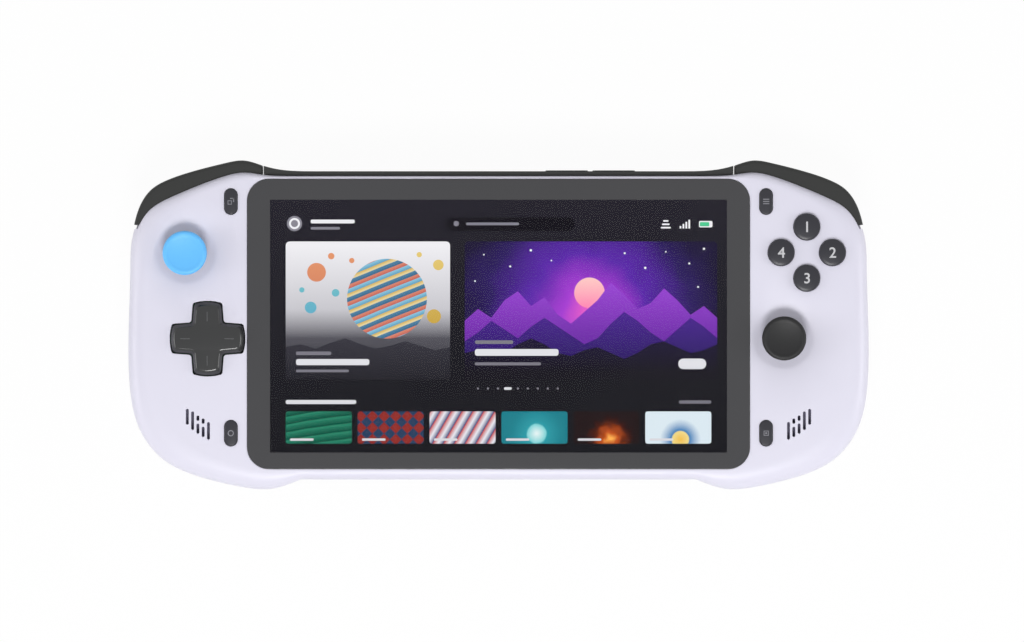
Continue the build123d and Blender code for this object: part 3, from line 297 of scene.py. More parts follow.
# Polished ABS of the D-pad: its drafted sides throw hard highlights
crossAbs = mouldedPlastic("crossAbsGloss", {
    "colour": "#222324", "tint": "#202122", "edgeWearAndHighlight": "#2A2B2C", "edgeWearAndHighlightShare": 0.3, "roughness": 0.20, "ior": 1.45,
    "flowMm": 12, "grainMm": 0.30, "grainDepth": 0.04, "edgeMm": 0.05, "coat": 0.30})
# The same ABS on the raised lines of the D-pad, lighter in colour: a painted highlight for the light the lines
# catch
paintedHighlightLinesAbs = mouldedPlastic("crossAbsLinesPaintedHighlight", {
    "colour": "#4C4D4F", "tint": "#464749", "edgeWearAndHighlight": "#5C5D5F", "edgeWearAndHighlightShare": 0.3, "roughness": 0.35, "ior": 1.45,
    "flowMm": 12, "grainMm": 0.30, "grainDepth": 0.06, "edgeMm": 0.05})
# Overmoulded TPE of the stick caps: soft sheen, fine grain
blueTpe = mouldedPlastic("blueTpe", {
    "colour": "#67C1FF", "tint": "#61BCFD", "edgeWearAndHighlight": "#86CFFF", "edgeWearAndHighlightShare": 0.4, "roughness": 0.48, "ior": 1.5,
    "flowMm": 8, "grainMm": 0.25, "grainDepth": 0.20, "edgeMm": 0.2})
blackTpe = mouldedPlastic("blackTpe", {
    "colour": "#0F0F11", "tint": "#0D0D0F", "edgeWearAndHighlight": "#17171A", "edgeWearAndHighlightShare": 0.4, "roughness": 0.50, "ior": 1.42,
    "flowMm": 8, "grainMm": 0.25, "grainDepth": 0.25, "edgeMm": 0.2})
# Black nylon of carriers, housings and switches inside
innerNylon = mouldedPlastic("innerNylonMatte", {
    "colour": "#222224", "tint": "#1E1E20", "edgeWearAndHighlight": "#303033", "edgeWearAndHighlightShare": 0.3, "roughness": 0.6, "ior": 1.5,
    "flowMm": 8, "grainMm": 0.4, "grainDepth": 0.3, "edgeMm": 0.1})
# Silicone of the button pads: translucent grey, dull
greySilicone = mouldedPlastic("greySilicone", {
    "colour": "#9A9AA0", "tint": "#8F8F96", "edgeWearAndHighlight": "#A8A8AE", "edgeWearAndHighlightShare": 0.2, "roughness": 0.7, "ior": 1.41,
    "flowMm": 6, "grainMm": 0.3, "grainDepth": 0.2, "edgeMm": 0.15})
# Closed-cell foam of the display gasket
blackFoam = mouldedPlastic("blackFoam", {
    "colour": "#202022", "tint": "#2A2A2C", "edgeWearAndHighlight": "#303030", "edgeWearAndHighlightShare": 0.1, "roughness": 0.9, "ior": 1.4,
    "flowMm": 1.5, "grainMm": 0.35, "grainDepth": 0.8, "edgeMm": 0.1})
# Film wrap of the battery cell
cellWrap = mouldedPlastic("cellWrapFilm", {
    "colour": "#26262B", "tint": "#2B2B31", "edgeWearAndHighlight": "#3C3C42", "edgeWearAndHighlightShare": 0.3, "roughness": 0.3, "ior": 1.6,
    "flowMm": 10, "grainMm": 1.2, "grainDepth": 0.3, "edgeMm": 0.3})
# Printed legends: screen-printed ink, a little dull
legendInk = mouldedPlastic("legendInk", {
    "colour": "#C9C9CC", "tint": "#BEBEC2", "edgeWearAndHighlight": "#C9C9CC", "edgeWearAndHighlightShare": 0.0, "roughness": 0.6, "ior": 1.5,
    "flowMm": 1.5, "grainMm": 0.2, "grainDepth": 0.2, "edgeMm": 0.02})
dimInk = mouldedPlastic("dimLegendInk", {
    "colour": "#85858C", "tint": "#7C7C83", "edgeWearAndHighlight": "#85858C", "edgeWearAndHighlightShare": 0.0, "roughness": 0.6, "ior": 1.5,
    "flowMm": 1.5, "grainMm": 0.2, "grainDepth": 0.2, "edgeMm": 0.02})


metal = {"lineDetail": 3.0, "blotchMm": 6, "blotchDetail": 2.0, "smoother": 0.08, "rougher": 0.12, "bump": 0.2,
         "bumpMm": 0.01}


def brushedMetal(name, look):
    # Rolled or plated metal: fine lines along one way in roughness and bump, blotched a little by handling
    m = metal
    material, tree, where = startSurface(name)
    along = addNode(tree, "ShaderNodeMapping", inputs={
        "Vector": where, "Scale": look["stretch"]}).outputs["Vector"]
    lines = noiseOf(tree, along, look["lineMm"], m["lineDetail"])
    blotch = noiseOf(tree, where, m["blotchMm"], m["blotchDetail"])
    rough = spreadOf(tree, lines, look["roughness"] - m["smoother"], look["roughness"] + m["rougher"])
    return endSurface(material, tree, {
        "Base Color": mixOf(tree, blotch, look["colour"], look["tint"]), "Roughness": rough,
        "Normal": bumpOf(tree, lines, m["bump"], m["bumpMm"]), "Metallic": 1.0})


# Nickel-plated steel of the screws, pins, ports and shields
platedSteel = brushedMetal("nickelPlatedSteel", {
    "colour": "#B9BABD", "tint": "#A9AAAE", "roughness": 0.30, "lineMm": 0.25, "stretch": (1, 12, 12)})
# Rolled aluminium of the mid frame and the heat spreader
rolledAluminium = brushedMetal("rolledAluminium", {
    "colour": "#C4C6C9", "tint": "#B6B8BC", "roughness": 0.38, "lineMm": 0.35, "stretch": (1, 20, 20)})


board = {"brickMm": 9, "bump": 0.4, "bumpMm": 0.03}


def boardLaminate():
    # Solder mask over copper tracks: the tracks show as lighter, slightly raised lines
    material, tree, where = startSurface("solderMaskBoard")
    tracks = addNode(tree, "ShaderNodeTexBrick", {"offset": 0.37, "squash": 0.6, "squash_frequency": 3}, {
        "Vector": where, "Scale": 1 / (board["brickMm"] * mm), "Mortar Size": 0.03, "Mortar Smooth": 0.1,
        "Color1": "#14452C", "Color2": "#174B31", "Mortar": "#2B7A50", "Brick Width": 0.5, "Row Height": 0.12})
    return endSurface(material, tree, {
        "Base Color": tracks.outputs["Color"], "Roughness": 0.35, "Coat Weight": 0.3,
        "Normal": bumpOf(tree, tracks.outputs["Fac"], board["bump"], board["bumpMm"])})


bandScale = 0.314159  # a wave texture's scale for one band a unit
ribbon = {"lineMm": 1.5916}


def ribbonFilm():
    # Polyimide film over parallel copper lines
    material, tree, where = startSurface("polyimideRibbon")
    lines = addNode(tree, "ShaderNodeTexWave", {"bands_direction": "Y"}, {
        "Vector": where, "Scale": bandScale / (ribbon["lineMm"] * mm), "Distortion": 0.0})
    return endSurface(material, tree, {
        "Base Color": rampOf(tree, lines.outputs["Fac"], [(0.35, "#7A3E0C"), (0.65, "#B8702A")]),
        "Roughness": 0.3, "Coat Weight": 0.4})


cloth = {"checkMm": 0.25, "bump": 0.6, "bumpMm": 0.05}


def wovenMesh():
    # Acoustic cloth behind the speaker slots, in a plain weave
    material, tree, where = startSurface("acousticCloth")
    weave = addNode(tree, "ShaderNodeTexChecker", inputs={
        "Vector": where, "Scale": 1 / (cloth["checkMm"] * mm), "Color1": "#7C798A", "Color2": "#605D6E"})
    return endSurface(material, tree, {
        "Base Color": weave.outputs["Color"], "Roughness": 0.85,
        "Normal": bumpOf(tree, weave.outputs["Fac"], cloth["bump"], cloth["bumpMm"])})


glass = {"hazeMm": 30, "hazeDetail": 2.0, "smearMm": 25, "smearDetail": 3.0}


def borderGlass():
    # Cover glass printed black from behind: deep, smooth, and it mirrors the room faintly
    material, tree, where = startSurface("printedCoverGlass")
    haze = noiseOf(tree, where, glass["hazeMm"], glass["hazeDetail"])
    return endSurface(material, tree, {
        "Base Color": mixOf(tree, haze, "#38383B", "#353538"),
        "Roughness": spreadOf(tree, haze, 0.05, 0.12), "IOR": 1.5})


def paneGlass():
    # Clear part of the cover glass, with an anti-reflective coating that keeps the picture dark
    material, tree, where = startSurface("coatedClearGlass")
    smear = noiseOf(tree, where, glass["smearMm"], glass["smearDetail"])
    return endSurface(material, tree, {
        "Base Color": "#FFFFFF", "Roughness": spreadOf(tree, smear, 0.0, 0.02), "IOR": 1.12,
        "Transmission Weight": 1.0})


slotMaterials = {
    "case_white": whiteAbs, "trim_black": blackNylon, "screen_glass": borderGlass(), "display": innerNylon,
    "stick_blue": blueTpe, "stick_black": blackTpe, "button_black": buttonAbs, "dpad_black": crossAbs,
    "silicone_grey": greySilicone, "circuit_board": boardLaminate(), "steel": platedSteel,
    "aluminium": rolledAluminium, "inner_black": innerNylon, "battery_wrap": cellWrap, "foam": blackFoam,
    "mesh": wovenMesh(), "ribbon_amber": ribbonFilm(),
}
nodeSlots = {entry["node"]: entry["material_slot"] for entry in frame["record"]["subparts"]}
for nodeName, slotName in nodeSlots.items():
    node = nodes[nodeName]
    node.data.materials.clear()
    node.data.materials.append(slotMaterials[slotName])
print("materials on", len(nodeSlots), "nodes")


# Camera, lamps and floor

# In millimetres, but clipEnd is in metres
camera = {"middleX": 4.6, "middleY": 1.4, "faceZ": 26, "away": 1600, "frameWidth": 349.2, "sensor": 36,
          "clipEnd": 20}
cameraData = bpy.data.cameras.new("frontCamera")
cameraData.sensor_width = camera["sensor"]
cameraData.lens = camera["sensor"] * camera["away"] / camera["frameWidth"]
cameraData.clip_end = camera["clipEnd"]
cameraObject = bpy.data.objects.new("frontCamera", cameraData)
cameraObject.location = (
    camera["middleX"] * mm, camera["middleY"] * mm, (camera["faceZ"] + camera["away"]) * mm)
bpy.context.scene.collection.objects.link(cameraObject)
bpy.context.scene.camera = cameraObject
bpy.context.scene.view_settings.view_transform = "Standard"


def backgroundRays(tree):
    # 1 for the rays that see the white background: camera, glass and gloss
    ray = addNode(tree, "ShaderNodeLightPath").outputs
    seen = addNode(tree, "ShaderNodeMath", {"operation": "MAXIMUM"}, {
        0: ray["Is Camera Ray"], 1: ray["Is Transmission Ray"]}).outputs["Value"]
    return addNode(tree, "ShaderNodeMath", {"operation": "MAXIMUM"}, {
        0: seen, 1: ray["Is Glossy Ray"]}).outputs["Value"]


# In metres and watts. Lamps by name, place, size and power: a wide soft one past the bottom edge, a low one at
# each side
studio = {
    "worldLevel": 0.50, "whiteLevel": 1.0, "floorLevel": 0.95, "floorDepth": 0.6, "floorSize": 6.0,
    "lamps": [
        ("lowLamp", (0.00, -0.64, 1.15), 0.5, 8.2),
        ("leftLamp", (-1.20, -0.10, 0.45), 0.6, 3.0),
        ("rightLamp", (1.20, -0.10, 0.45), 0.6, 3.4),
    ],
}
for lampName, place, size, watts in studio["lamps"]:
    lampData = bpy.data.lights.new(lampName, "AREA")
    lampData.shape = "DISK"
    lampData.size = size
    lampData.energy = watts
    lamp = bpy.data.objects.new(lampName, lampData)
    lamp.location = place
    lamp.rotation_euler = (-Vector(place)).to_track_quat("-Z", "Y").to_euler()
    bpy.context.scene.collection.objects.link(lamp)

world = bpy.data.worlds.new("whiteStudio")
bpy.context.scene.world = world
worldTree = emptyTree(world)
level = spreadOf(worldTree, backgroundRays(worldTree), studio["worldLevel"], studio["whiteLevel"])
sky = addNode(worldTree, "ShaderNodeBackground", inputs={"Color": "#FFFFFF", "Strength": level})
addNode(worldTree, "ShaderNodeOutputWorld", inputs={"Surface": sky.outputs["Background"]})

floorMaterial, floorTree = startMaterial("whiteStudioFloor")
glow = addNode(floorTree, "ShaderNodeMath", {"operation": "MULTIPLY"}, {
    0: backgroundRays(floorTree), 1: studio["floorLevel"]}).outputs["Value"]
matte = addNode(floorTree, "ShaderNodeBsdfDiffuse", inputs={"Color": "#F2F2F2"})
white = addNode(floorTree, "ShaderNodeEmission", inputs={"Color": "#FFFFFF", "Strength": studio["whiteLevel"]})
both = addNode(floorTree, "ShaderNodeMixShader", inputs={
    0: glow, 1: matte.outputs["BSDF"], 2: white.outputs["Emission"]})
addNode(floorTree, "ShaderNodeOutputMaterial", inputs={"Surface": both.outputs["Shader"]})
bm = bmesh.new()
bmesh.ops.create_grid(bm, x_segments=1, y_segments=1, size=studio["floorSize"] / 2)
bmesh.ops.translate(bm, verts=bm.verts, vec=(0, 0, -studio["floorDepth"] * mm))
floor = finishMesh(bm, "studioFloor", [floorMaterial])
print("camera, lamps and floor")


# Shells, trim, bumpers and triggers: the CAD shapes, merged and smooth

for node, name, body in (
        ("front_shell", "frontShell", "root"), ("rear_shell", "rearShell", "root"),
        ("top_trim", "topTrim", "root"),
        ("left_bumper", "leftBumper", "left_bumper"),
        ("right_bumper", "rightBumper", "right_bumper"),
        ("left_trigger", "leftTrigger", "left_trigger"),
        ("right_trigger", "rightTrigger", "right_trigger"),
        ("volume_down", "volumeDownKey", "volume_down"), ("volume_up", "volumeUpKey", "volume_up"),
        ("power_slider", "powerSlider", "power_slider")):
    piece = mergedCopy(node, name, slotMaterials[nodeSlots[node]])
    seat(piece, body, nodeSlots[node], node)
print("case")


# Sticks

stick = {"capRadius": 7.5, "capLow": 31.8, "capHigh": 34.7, "topRound": 0.95, "lowRound": 0.9, "rimInner": 5.8,
         "rimStep": 0.25, "rimDrop": 0.12, "dishDepth": 0.6, "neckRadius": 2.7, "neckRound": 0.5,
         "coreRadius": 6.0, "coreLow": 31.7, "coreSink": 0.05, "coreRound": 0.04, "skirtRadius": 9.99,
         "skirtReach": 62, "skirtWall": 0.9, "pivotZ": 16.5, "arcSteps": 10, "skirtSteps": 12, "steps": 96}


def makeStick(side, material, slot):
    s = stick
    centre = middleOf(side + "_stick_cap")
    rim, top = s["rimInner"], s["capHigh"] - s["rimDrop"]
    dishLow = top - s["dishDepth"]
    dishCentre = (rim ** 2 + top ** 2 - dishLow ** 2) / (2 * (top - dishLow))
    profile = arcPoints((0, dishLow), (rim, top), dishCentre, s["arcSteps"])
    profile += [(rim + s["rimStep"], s["capHigh"], 0), (s["capRadius"], s["capHigh"], s["topRound"]),
                (s["capRadius"], s["capLow"], s["lowRound"]), (0, s["capLow"], 0)]
    bm = bmesh.new()
    turned(bm, centre, profile, s["steps"])
    seat(finishMesh(bm, side + "StickCap", [material]), side + "_stick_cap", slot, side + "_stick_cap")

    # black core under the cap: its neck runs into the dome that closes the hole
    pivotZ, neck, outer = s["pivotZ"], s["neckRadius"], s["skirtRadius"]
    coreHigh, inner, reach = s["capLow"] + s["coreSink"], outer - s["skirtWall"], radians(s["skirtReach"])
    profile = [(0, coreHigh, 0), (s["coreRadius"], coreHigh, 0), (s["coreRadius"], s["coreLow"], s["coreRound"]),
               (neck, s["coreLow"], s["neckRound"])]
    profile += arcPoints((neck, pivotZ + sqrt(outer ** 2 - neck ** 2)),
                         (outer * sin(reach), pivotZ + outer * cos(reach)), pivotZ, s["skirtSteps"])
    profile += arcPoints((inner * sin(reach), pivotZ + inner * cos(reach)), (0, pivotZ + inner), pivotZ,
                         s["arcSteps"])
    bm = bmesh.new()
    turned(bm, centre, profile, s["steps"])
    seat(finishMesh(bm, side + "StickCore", [crossAbs]), side + "_stick_cap", "stick_black")


makeStick("left", blueTpe, "stick_blue")
makeStick("right", blackTpe, "stick_black")
print("sticks")


# D-pad

cross = {"arm": 9.3, "taper": 0.5, "topArm": 7.3, "reach": 12.5, "topReach": 11.3, "low": 24.4, "face": 28.1,
         "top": 30.0, "bulge": 0.8, "corner": 1.0, "cornerSteps": 5, "endCuts": 9, "topEdge": 0.6, "rimAngle": 20}
tick = {"away": 7.5, "length": 3.3, "width": 0.34, "corner": 0.15, "rise": 0.05, "thick": 0.15}


def makeCross():
    c = cross
    centre = middleOf("dpad_cross")
    bm = bmesh.new()
    # the cross is a three by three grid without its corners, and its inner points move out to the arm's width
    bmesh.ops.create_grid(bm, x_segments=3, y_segments=3, size=1)
    corners = [f for f in bm.faces if min(abs(f.calc_center_median().x), abs(f.calc_center_median().y)) > 0.4]
    bmesh.ops.delete(bm, geom=corners, context="FACES")
    bmesh.ops.dissolve_faces(bm, faces=bm.faces)
    for vert in bm.verts:
        for axis in (0, 1):
            vert.co[axis] *= c["reach"] * mm if abs(vert.co[axis]) > 0.9 else 1.5 * c["arm"] * mm
    for vert in bm.verts:
        if max(abs(vert.co.x), abs(vert.co.y)) < 0.9 * c["reach"] * mm:
            vert.co *= 1 + 2 * c["taper"] / c["arm"]
    bmesh.ops.bevel(bm, geom=list(bm.verts), offset=c["corner"] * mm, offset_type="OFFSET",
                    segments=c["cornerSteps"], profile=0.5, affect="VERTICES", clamp_overlap=False, material=-1)
    ends = [e for e in bm.edges if any(
        all(abs(v.co[axis]) > c["reach"] * mm - same["weld"] for v in e.verts) for axis in (0, 1))]
    bmesh.ops.subdivide_edges(bm, edges=ends, cuts=c["endCuts"])

    # the ends of the arms bulge out
    for vert in bm.verts:
        for along, across in ((0, 1), (1, 0)):
            if abs(vert.co[along]) > 2 / 3 * c["reach"] * mm:
                inwards = c["bulge"] * mm * (vert.co[across] / (c["arm"] / 2 * mm)) ** 2
                vert.co[along] -= inwards if vert.co[along] > 0 else -inwards
    bmesh.ops.translate(bm, verts=bm.verts, vec=(0, 0, c["low"] * mm))
    grown = bmesh.ops.extrude_face_region(bm, geom=list(bm.faces), use_keep_orig=True)
    shift(bm, grown["geom"], 0, 0, c["face"] - c["low"])
    faces = [g for g in grown["geom"] if isinstance(g, bmesh.types.BMFace)]
    grown = bmesh.ops.extrude_face_region(bm, geom=faces)
    half, topHalf = c["arm"] / 2 * mm, c["topArm"] / 2 * mm
    lean = (c["topReach"] * mm - topHalf) / (c["reach"] * mm - half)
    for vert in shift(bm, grown["geom"], 0, 0, c["top"] - c["face"]):
        for axis in (0, 1):
            out = abs(vert.co[axis])
            drafted = out * topHalf / half if out < half else topHalf + (out - half) * lean
            vert.co[axis] = drafted if vert.co[axis] > 0 else -drafted
    bmesh.ops.recalc_face_normals(bm, faces=bm.faces)
    rim = [e for e in bm.edges if all(abs(v.co.z - c["top"] * mm) < same["ring"] for v in e.verts)
           and e.calc_face_angle(0) > radians(c["rimAngle"])]
    bevelEdges(bm, rim, c["topEdge"])
    shift(bm, bm.verts, centre[0], centre[1], 0)
    piece = finishMesh(bm, "dpadCross", [crossAbs])
    # a fine raised line along each arm, coloured lighter as a painted highlight
    ticks = bmesh.new()
    for x, y in ((1, 0), (-1, 0), (0, 1), (0, -1)):
        size = (tick["length"], tick["width"]) if x else (tick["width"], tick["length"])
        roundedSlab(ticks, (centre[0] + x * tick["away"], centre[1] + y * tick["away"]), size, tick["corner"],
                    c["top"] + tick["rise"], tick["thick"], segments=4)
    seat(finishMesh(ticks, "dpadLines", [paintedHighlightLinesAbs]), "dpad_cross", "dpad_black")
    return seat(piece, "dpad_cross", "dpad_black", "dpad_cross")


makeCross()
print("D-pad")


# Face buttons with plain numbers

button = {"radius": 4.5, "top": 29.8, "low": 23.4, "edge": 0.4, "dome": 0.3, "rimStep": 0.12, "footRound": 0.3,
          "digitHeight": 3.6, "digitRise": 0.02, "digitDepth": 0.12, "digitBold": 0.012, "domeSteps": 6,
          "steps": 72}
buttonDigits = {"north": "1", "east": "2", "south": "3", "west": "4"}


def flatText(name, text, centre, height, topZ, depth, bold, material):
    # A printed character as a thin mesh
    curve = bpy.data.curves.new(name, "FONT")
    curve.body = text
    curve.align_x, curve.align_y = "CENTER", "CENTER"
    curve.size = 1.0
    curve.offset = bold
    curve.resolution_u = 6
    maker = bpy.data.objects.new(name, curve)
    bpy.context.scene.collection.objects.link(maker)
    bpy.context.view_layer.update()
    flat = bpy.data.meshes.new_from_object(maker.evaluated_get(bpy.context.evaluated_depsgraph_get()))
    bpy.data.objects.remove(maker)
    bm = bmesh.new()
    bm.from_mesh(flat)
    bmesh.ops.remove_doubles(bm, verts=bm.verts, dist=same["textWeld"])
    lowY, highY = min(v.co.y for v in bm.verts), max(v.co.y for v in bm.verts)
    lowX, highX = min(v.co.x for v in bm.verts), max(v.co.x for v in bm.verts)
    scale = height * mm / (highY - lowY)
    bmesh.ops.translate(bm, verts=bm.verts, vec=(-(lowX + highX) / 2, -(lowY + highY) / 2, 0))
    bmesh.ops.scale(bm, verts=bm.verts, vec=(scale, scale, 1))
    for vert in bm.verts:
        vert.co.z = 0
    shift(bm, bm.verts, centre[0], centre[1], topZ)
    grown = bmesh.ops.extrude_face_region(bm, geom=list(bm.faces))
    shift(bm, grown["geom"], 0, 0, -depth)
    bmesh.ops.recalc_face_normals(bm, faces=bm.faces)
    return finishMesh(bm, name, [material])


def makeButton(place, digit):
    b = button
    node, name = "button_" + place, "button" + place.capitalize()
    centre = middleOf(node)
    domeRim, domeLow = b["radius"] - b["edge"], b["top"] - b["dome"]
    domeCentre = (domeRim ** 2 + domeLow ** 2 - b["top"] ** 2) / (2 * (domeLow - b["top"]))
    profile = arcPoints((0, b["top"]), (domeRim, domeLow), domeCentre, b["domeSteps"])
    profile += [(b["radius"] - b["rimStep"], domeLow - b["rimStep"], 0), (b["radius"], domeLow - b["edge"], 0),
                (b["radius"], b["low"], b["footRound"]), (0, b["low"], 0)]
    bm = bmesh.new()
    turned(bm, centre, profile, b["steps"])
    seat(finishMesh(bm, name, [buttonAbs]), node, "button_black", node)
    legend = flatText(name + "Number", digit, centre, b["digitHeight"], b["top"] + b["digitRise"],
                      b["digitDepth"], b["digitBold"], legendInk)
    seat(legend, node, "button_black")


for place, digit in buttonDigits.items():
    makeButton(place, digit)
print("face buttons")


# Small capsule buttons with plain signs

capsule = {"width": 4.4, "height": 8.8, "top": 28.6, "low": 23.4, "edge": 0.4, "flat": 0.01, "signRise": 0.015,
           "signDepth": 0.05, "stroke": 0.32, "signWidth": 2.1, "barPitch": 0.75, "windowAway": 0.35,
           "windowShare": 0.95, "backLine": 1.35, "backTop": (0.45, 1.05), "backSide": (0.97, 0.5),
           "squareShare": 1.15, "dot": 0.55, "ringSides": 32}


def signRing(bm, centre, radius, stroke, topZ, depth, sides):
    # Flat ring or square frame with this many sides
    turn = Matrix.Rotation(pi / sides, 4, "Z")
    made = bmesh.ops.create_circle(bm, segments=sides, radius=radius * mm, cap_ends=True, matrix=turn)
    verts = made["verts"]
    shift(bm, verts, centre[0], centre[1], topZ)
    face = list({f for v in verts for f in v.link_faces})
    inset = bmesh.ops.inset_individual(bm, faces=face, thickness=stroke * mm)
    bmesh.ops.delete(bm, geom=face, context="FACES_ONLY")
    grown = bmesh.ops.extrude_face_region(bm, geom=inset["faces"])
    shift(bm, grown["geom"], 0, 0, -depth)


def makeCapsule(node, kind):
    c = capsule
    x, y = middleOf(node)
    name = node.split("_")[0] + "Button"
    bm = bmesh.new()
    roundedSlab(bm, (x, y), (c["width"], c["height"]), c["width"] / 2 - c["flat"], c["top"], c["top"] - c["low"],
                edge=c["edge"], segments=16)
    seat(finishMesh(bm, name, [buttonAbs]), node, "button_black", node)

    bm = bmesh.new()
    signTop, depth, stroke, half = c["top"] + c["signRise"], c["signDepth"], c["stroke"], c["signWidth"] / 2
    if kind == "bars":
        for row in (-1, 0, 1):
            roundedSlab(bm, (x, y + row * c["barPitch"]), (c["signWidth"], stroke), 0, signTop, depth)
    elif kind == "windows":
        signRing(bm, (x - c["windowAway"], y - c["windowAway"]), half * c["windowShare"], stroke, signTop,
                 depth, 4)
        for size, away in (((c["backLine"], stroke), c["backTop"]), ((stroke, c["backLine"]), c["backSide"])):
            roundedSlab(bm, (x + away[0], y + away[1]), size, 0, signTop, depth)
    elif kind == "ring":
        signRing(bm, (x, y), half, stroke, signTop, depth, c["ringSides"])
    else:
        signRing(bm, (x, y), half * c["squareShare"], stroke, signTop, depth, 4)
        roundedSlab(bm, (x, y), (c["dot"], c["dot"]), 0, signTop, depth)
    bmesh.ops.recalc_face_normals(bm, faces=bm.faces)
    seat(finishMesh(bm, name + "Sign", [dimInk]), node, "button_black")


for node, kind in (("menu_button", "bars"), ("view_button", "windows"), ("system_button", "ring"),
                   ("home_button", "square")):
    makeCapsule(node, kind)
print("small buttons")


# Screen: printed border, clear pane, and the picture under it

screen = {"length": 171.2, "height": 98.8, "middleY": 0.4, "corner": 7.5, "top": 28.3, "thick": 1.7,
          "litLow": (-77.8, -43.4), "litHigh": (77.8, 42.7), "litCorner": 0.3, "cutOver": 1, "paneThick": 0.8,
          "paneGap": 0.02, "edge": 0.15}
litMiddle = tuple((a + b) / 2 for a, b in zip(screen["litLow"], screen["litHigh"]))


def litWindow(bm, gap, topZ, thickness):
    # A slab as large as the lit field, less a gap in all
    size = [b - a - gap for a, b in zip(screen["litLow"], screen["litHigh"])]
    roundedSlab(bm, litMiddle, size, screen["litCorner"], topZ, thickness, segments=3)


def makeBorder():
    s = screen
    bm = bmesh.new()
    roundedSlab(bm, (0, s["middleY"]), (s["length"], s["height"]), s["corner"], s["top"], s["thick"],
                edge=s["edge"], segments=16)
    piece = finishMesh(bm, "screenBorder", [slotMaterials["screen_glass"]])
    cutter = bmesh.new()
    litWindow(cutter, 0, s["top"] + s["cutOver"], s["thick"] + 2 * s["cutOver"])
    cutAway(piece, finishMesh(cutter, "windowCutter", []))
    return seat(piece, "root", "screen_glass", "display_glass")


makeBorder()
bm = bmesh.new()
litWindow(bm, screen["paneGap"], screen["top"], screen["paneThick"])
seat(finishMesh(bm, "screenPane", [paneGlass()]), "root", "screen_glass")


def litMaterial(name, build):
    # A patch of the lit picture: black glass that gives off its own colour
    material, tree, where = startSurface(name)
    return endSurface(material, tree, {
        "Base Color": "#000000", "Roughness": 0.5, "IOR": 1.0, "Emission Color": build(tree, where),
        "Emission Strength": 1.0})


def litFade(lowY, highY, stops):
    # Colours from lowY up to highY, in millimetres
    def build(tree, where):
        y = addNode(tree, "ShaderNodeSeparateXYZ", inputs={0: where}).outputs["Y"]
        return rampOf(tree, spreadOf(tree, y, 0.0, 1.0, lowY * mm, highY * mm), stops)
    return build


def placedAt(tree, where, centre, unitMm, turn=0, lift=0):
    # The point on the piece, counted from a centre in units of unitMm. The lift is in metres
    return addNode(tree, "ShaderNodeMapping", {"vector_type": "TEXTURE"}, {
        "Vector": where, "Location": (centre[0] * mm, centre[1] * mm, lift), "Rotation": (0, 0, radians(turn)),
        "Scale": (unitMm * mm,) * 3}).outputs["Vector"]


def litGlow(centre, radius, stops, cloud=0.0):
    # Colours outwards from a centre, ruffled by cloud
    def build(tree, where):
        away = addNode(tree, "ShaderNodeVectorMath", {"operation": "MULTIPLY"}, {
            0: placedAt(tree, where, centre, radius), 1: (1, 1, 0)}).outputs["Vector"]
        distance = addNode(tree, "ShaderNodeVectorMath", {"operation": "LENGTH"}, {0: away}).outputs["Value"]
        noise = addNode(tree, "ShaderNodeTexNoise", inputs={
            "Vector": away, "Scale": 3.0, "Detail": 4.0}).outputs["Fac"]
        ruffle = addNode(tree, "ShaderNodeMath", {"operation": "MULTIPLY_ADD"}, {0: noise, 1: cloud, 2: distance})
        lifted = addNode(tree, "ShaderNodeMath", {"operation": "SUBTRACT"}, {
            0: ruffle.outputs["Value"], 1: cloud / 2}).outputs["Value"]
        return rampOf(tree, lifted, stops)
    return build


def litWaves(centre, turn, waveMm, wobble, stops):
    # Wavy bands
    def build(tree, where):
        bands = addNode(tree, "ShaderNodeTexWave", {"wave_profile": "SAW", "bands_direction": "Y"}, {
            "Vector": placedAt(tree, where, centre, waveMm, turn), "Scale": bandScale, "Distortion": wobble,
            "Detail": 2.0, "Detail Scale": 0.5}).outputs["Fac"]
        return rampOf(tree, bands, stops)
    return build


def litChecks(centre, turn, checkMm, first, second):
    # Checks of two colours. The lift keeps the flat picture off the border between two layers of checks
    def build(tree, where):
        return addNode(tree, "ShaderNodeTexChecker", inputs={
            "Vector": placedAt(tree, where, centre, checkMm, turn, -0.3), "Scale": 1.0, "Color1": first,
            "Color2": second}).outputs["Color"]
    return build


# Home screen, in millimetres. Layers lie one step above another
homeScreen = {"level": 27.30, "step": 0.02, "thin": 0.015, "backGap": 0.04, "backThick": 0.5, "fieldY": (-43, 43),
              "footY": -18.5, "starRadius": 0.28, "starGrowth": 0.07}
stars = [(-5, 24), (4, 20), (11, 25.5), (18, 22), (43, 24.5), (50, 19.5), (57, 25), (65, 21), (70, 26), (-8, 15),
         (68, 13)]
dots = [(-62, 18, 3.2), (-64, 6, 2.0), (-20.5, 20.5, 1.8), (-57, 23.5, 1.1), (-55.5, 11, 1.3), (-22, 3, 2.4),
        (-50, 22, 0.9), (-67, 12, 0.9), (-27, 24, 0.9)]
pageMarks = {"count": 9, "current": 3, "firstX": -7.0, "pitch": 3.4, "y": -21.6, "radius": 0.38,
             "currentSize": (2.6, 0.9), "currentCorner": 0.42}
tileRow = {"firstX": -61.25, "pitch": 24.5, "y": -34.9, "size": (22.5, 11.0), "corner": 0.9, "wordX": -67.0,
           "wordY": -39.0, "wordSize": (8.0, 0.8), "wordCorner": 0.35,
           "looks": ("litTileGreen", "litTileDiamonds", "litTileStripes", "litTileTeal", "litTileEmber",
                     "litTileSun")}


def fieldFade(*stops):
    return litFade(*homeScreen["fieldY"], stops)


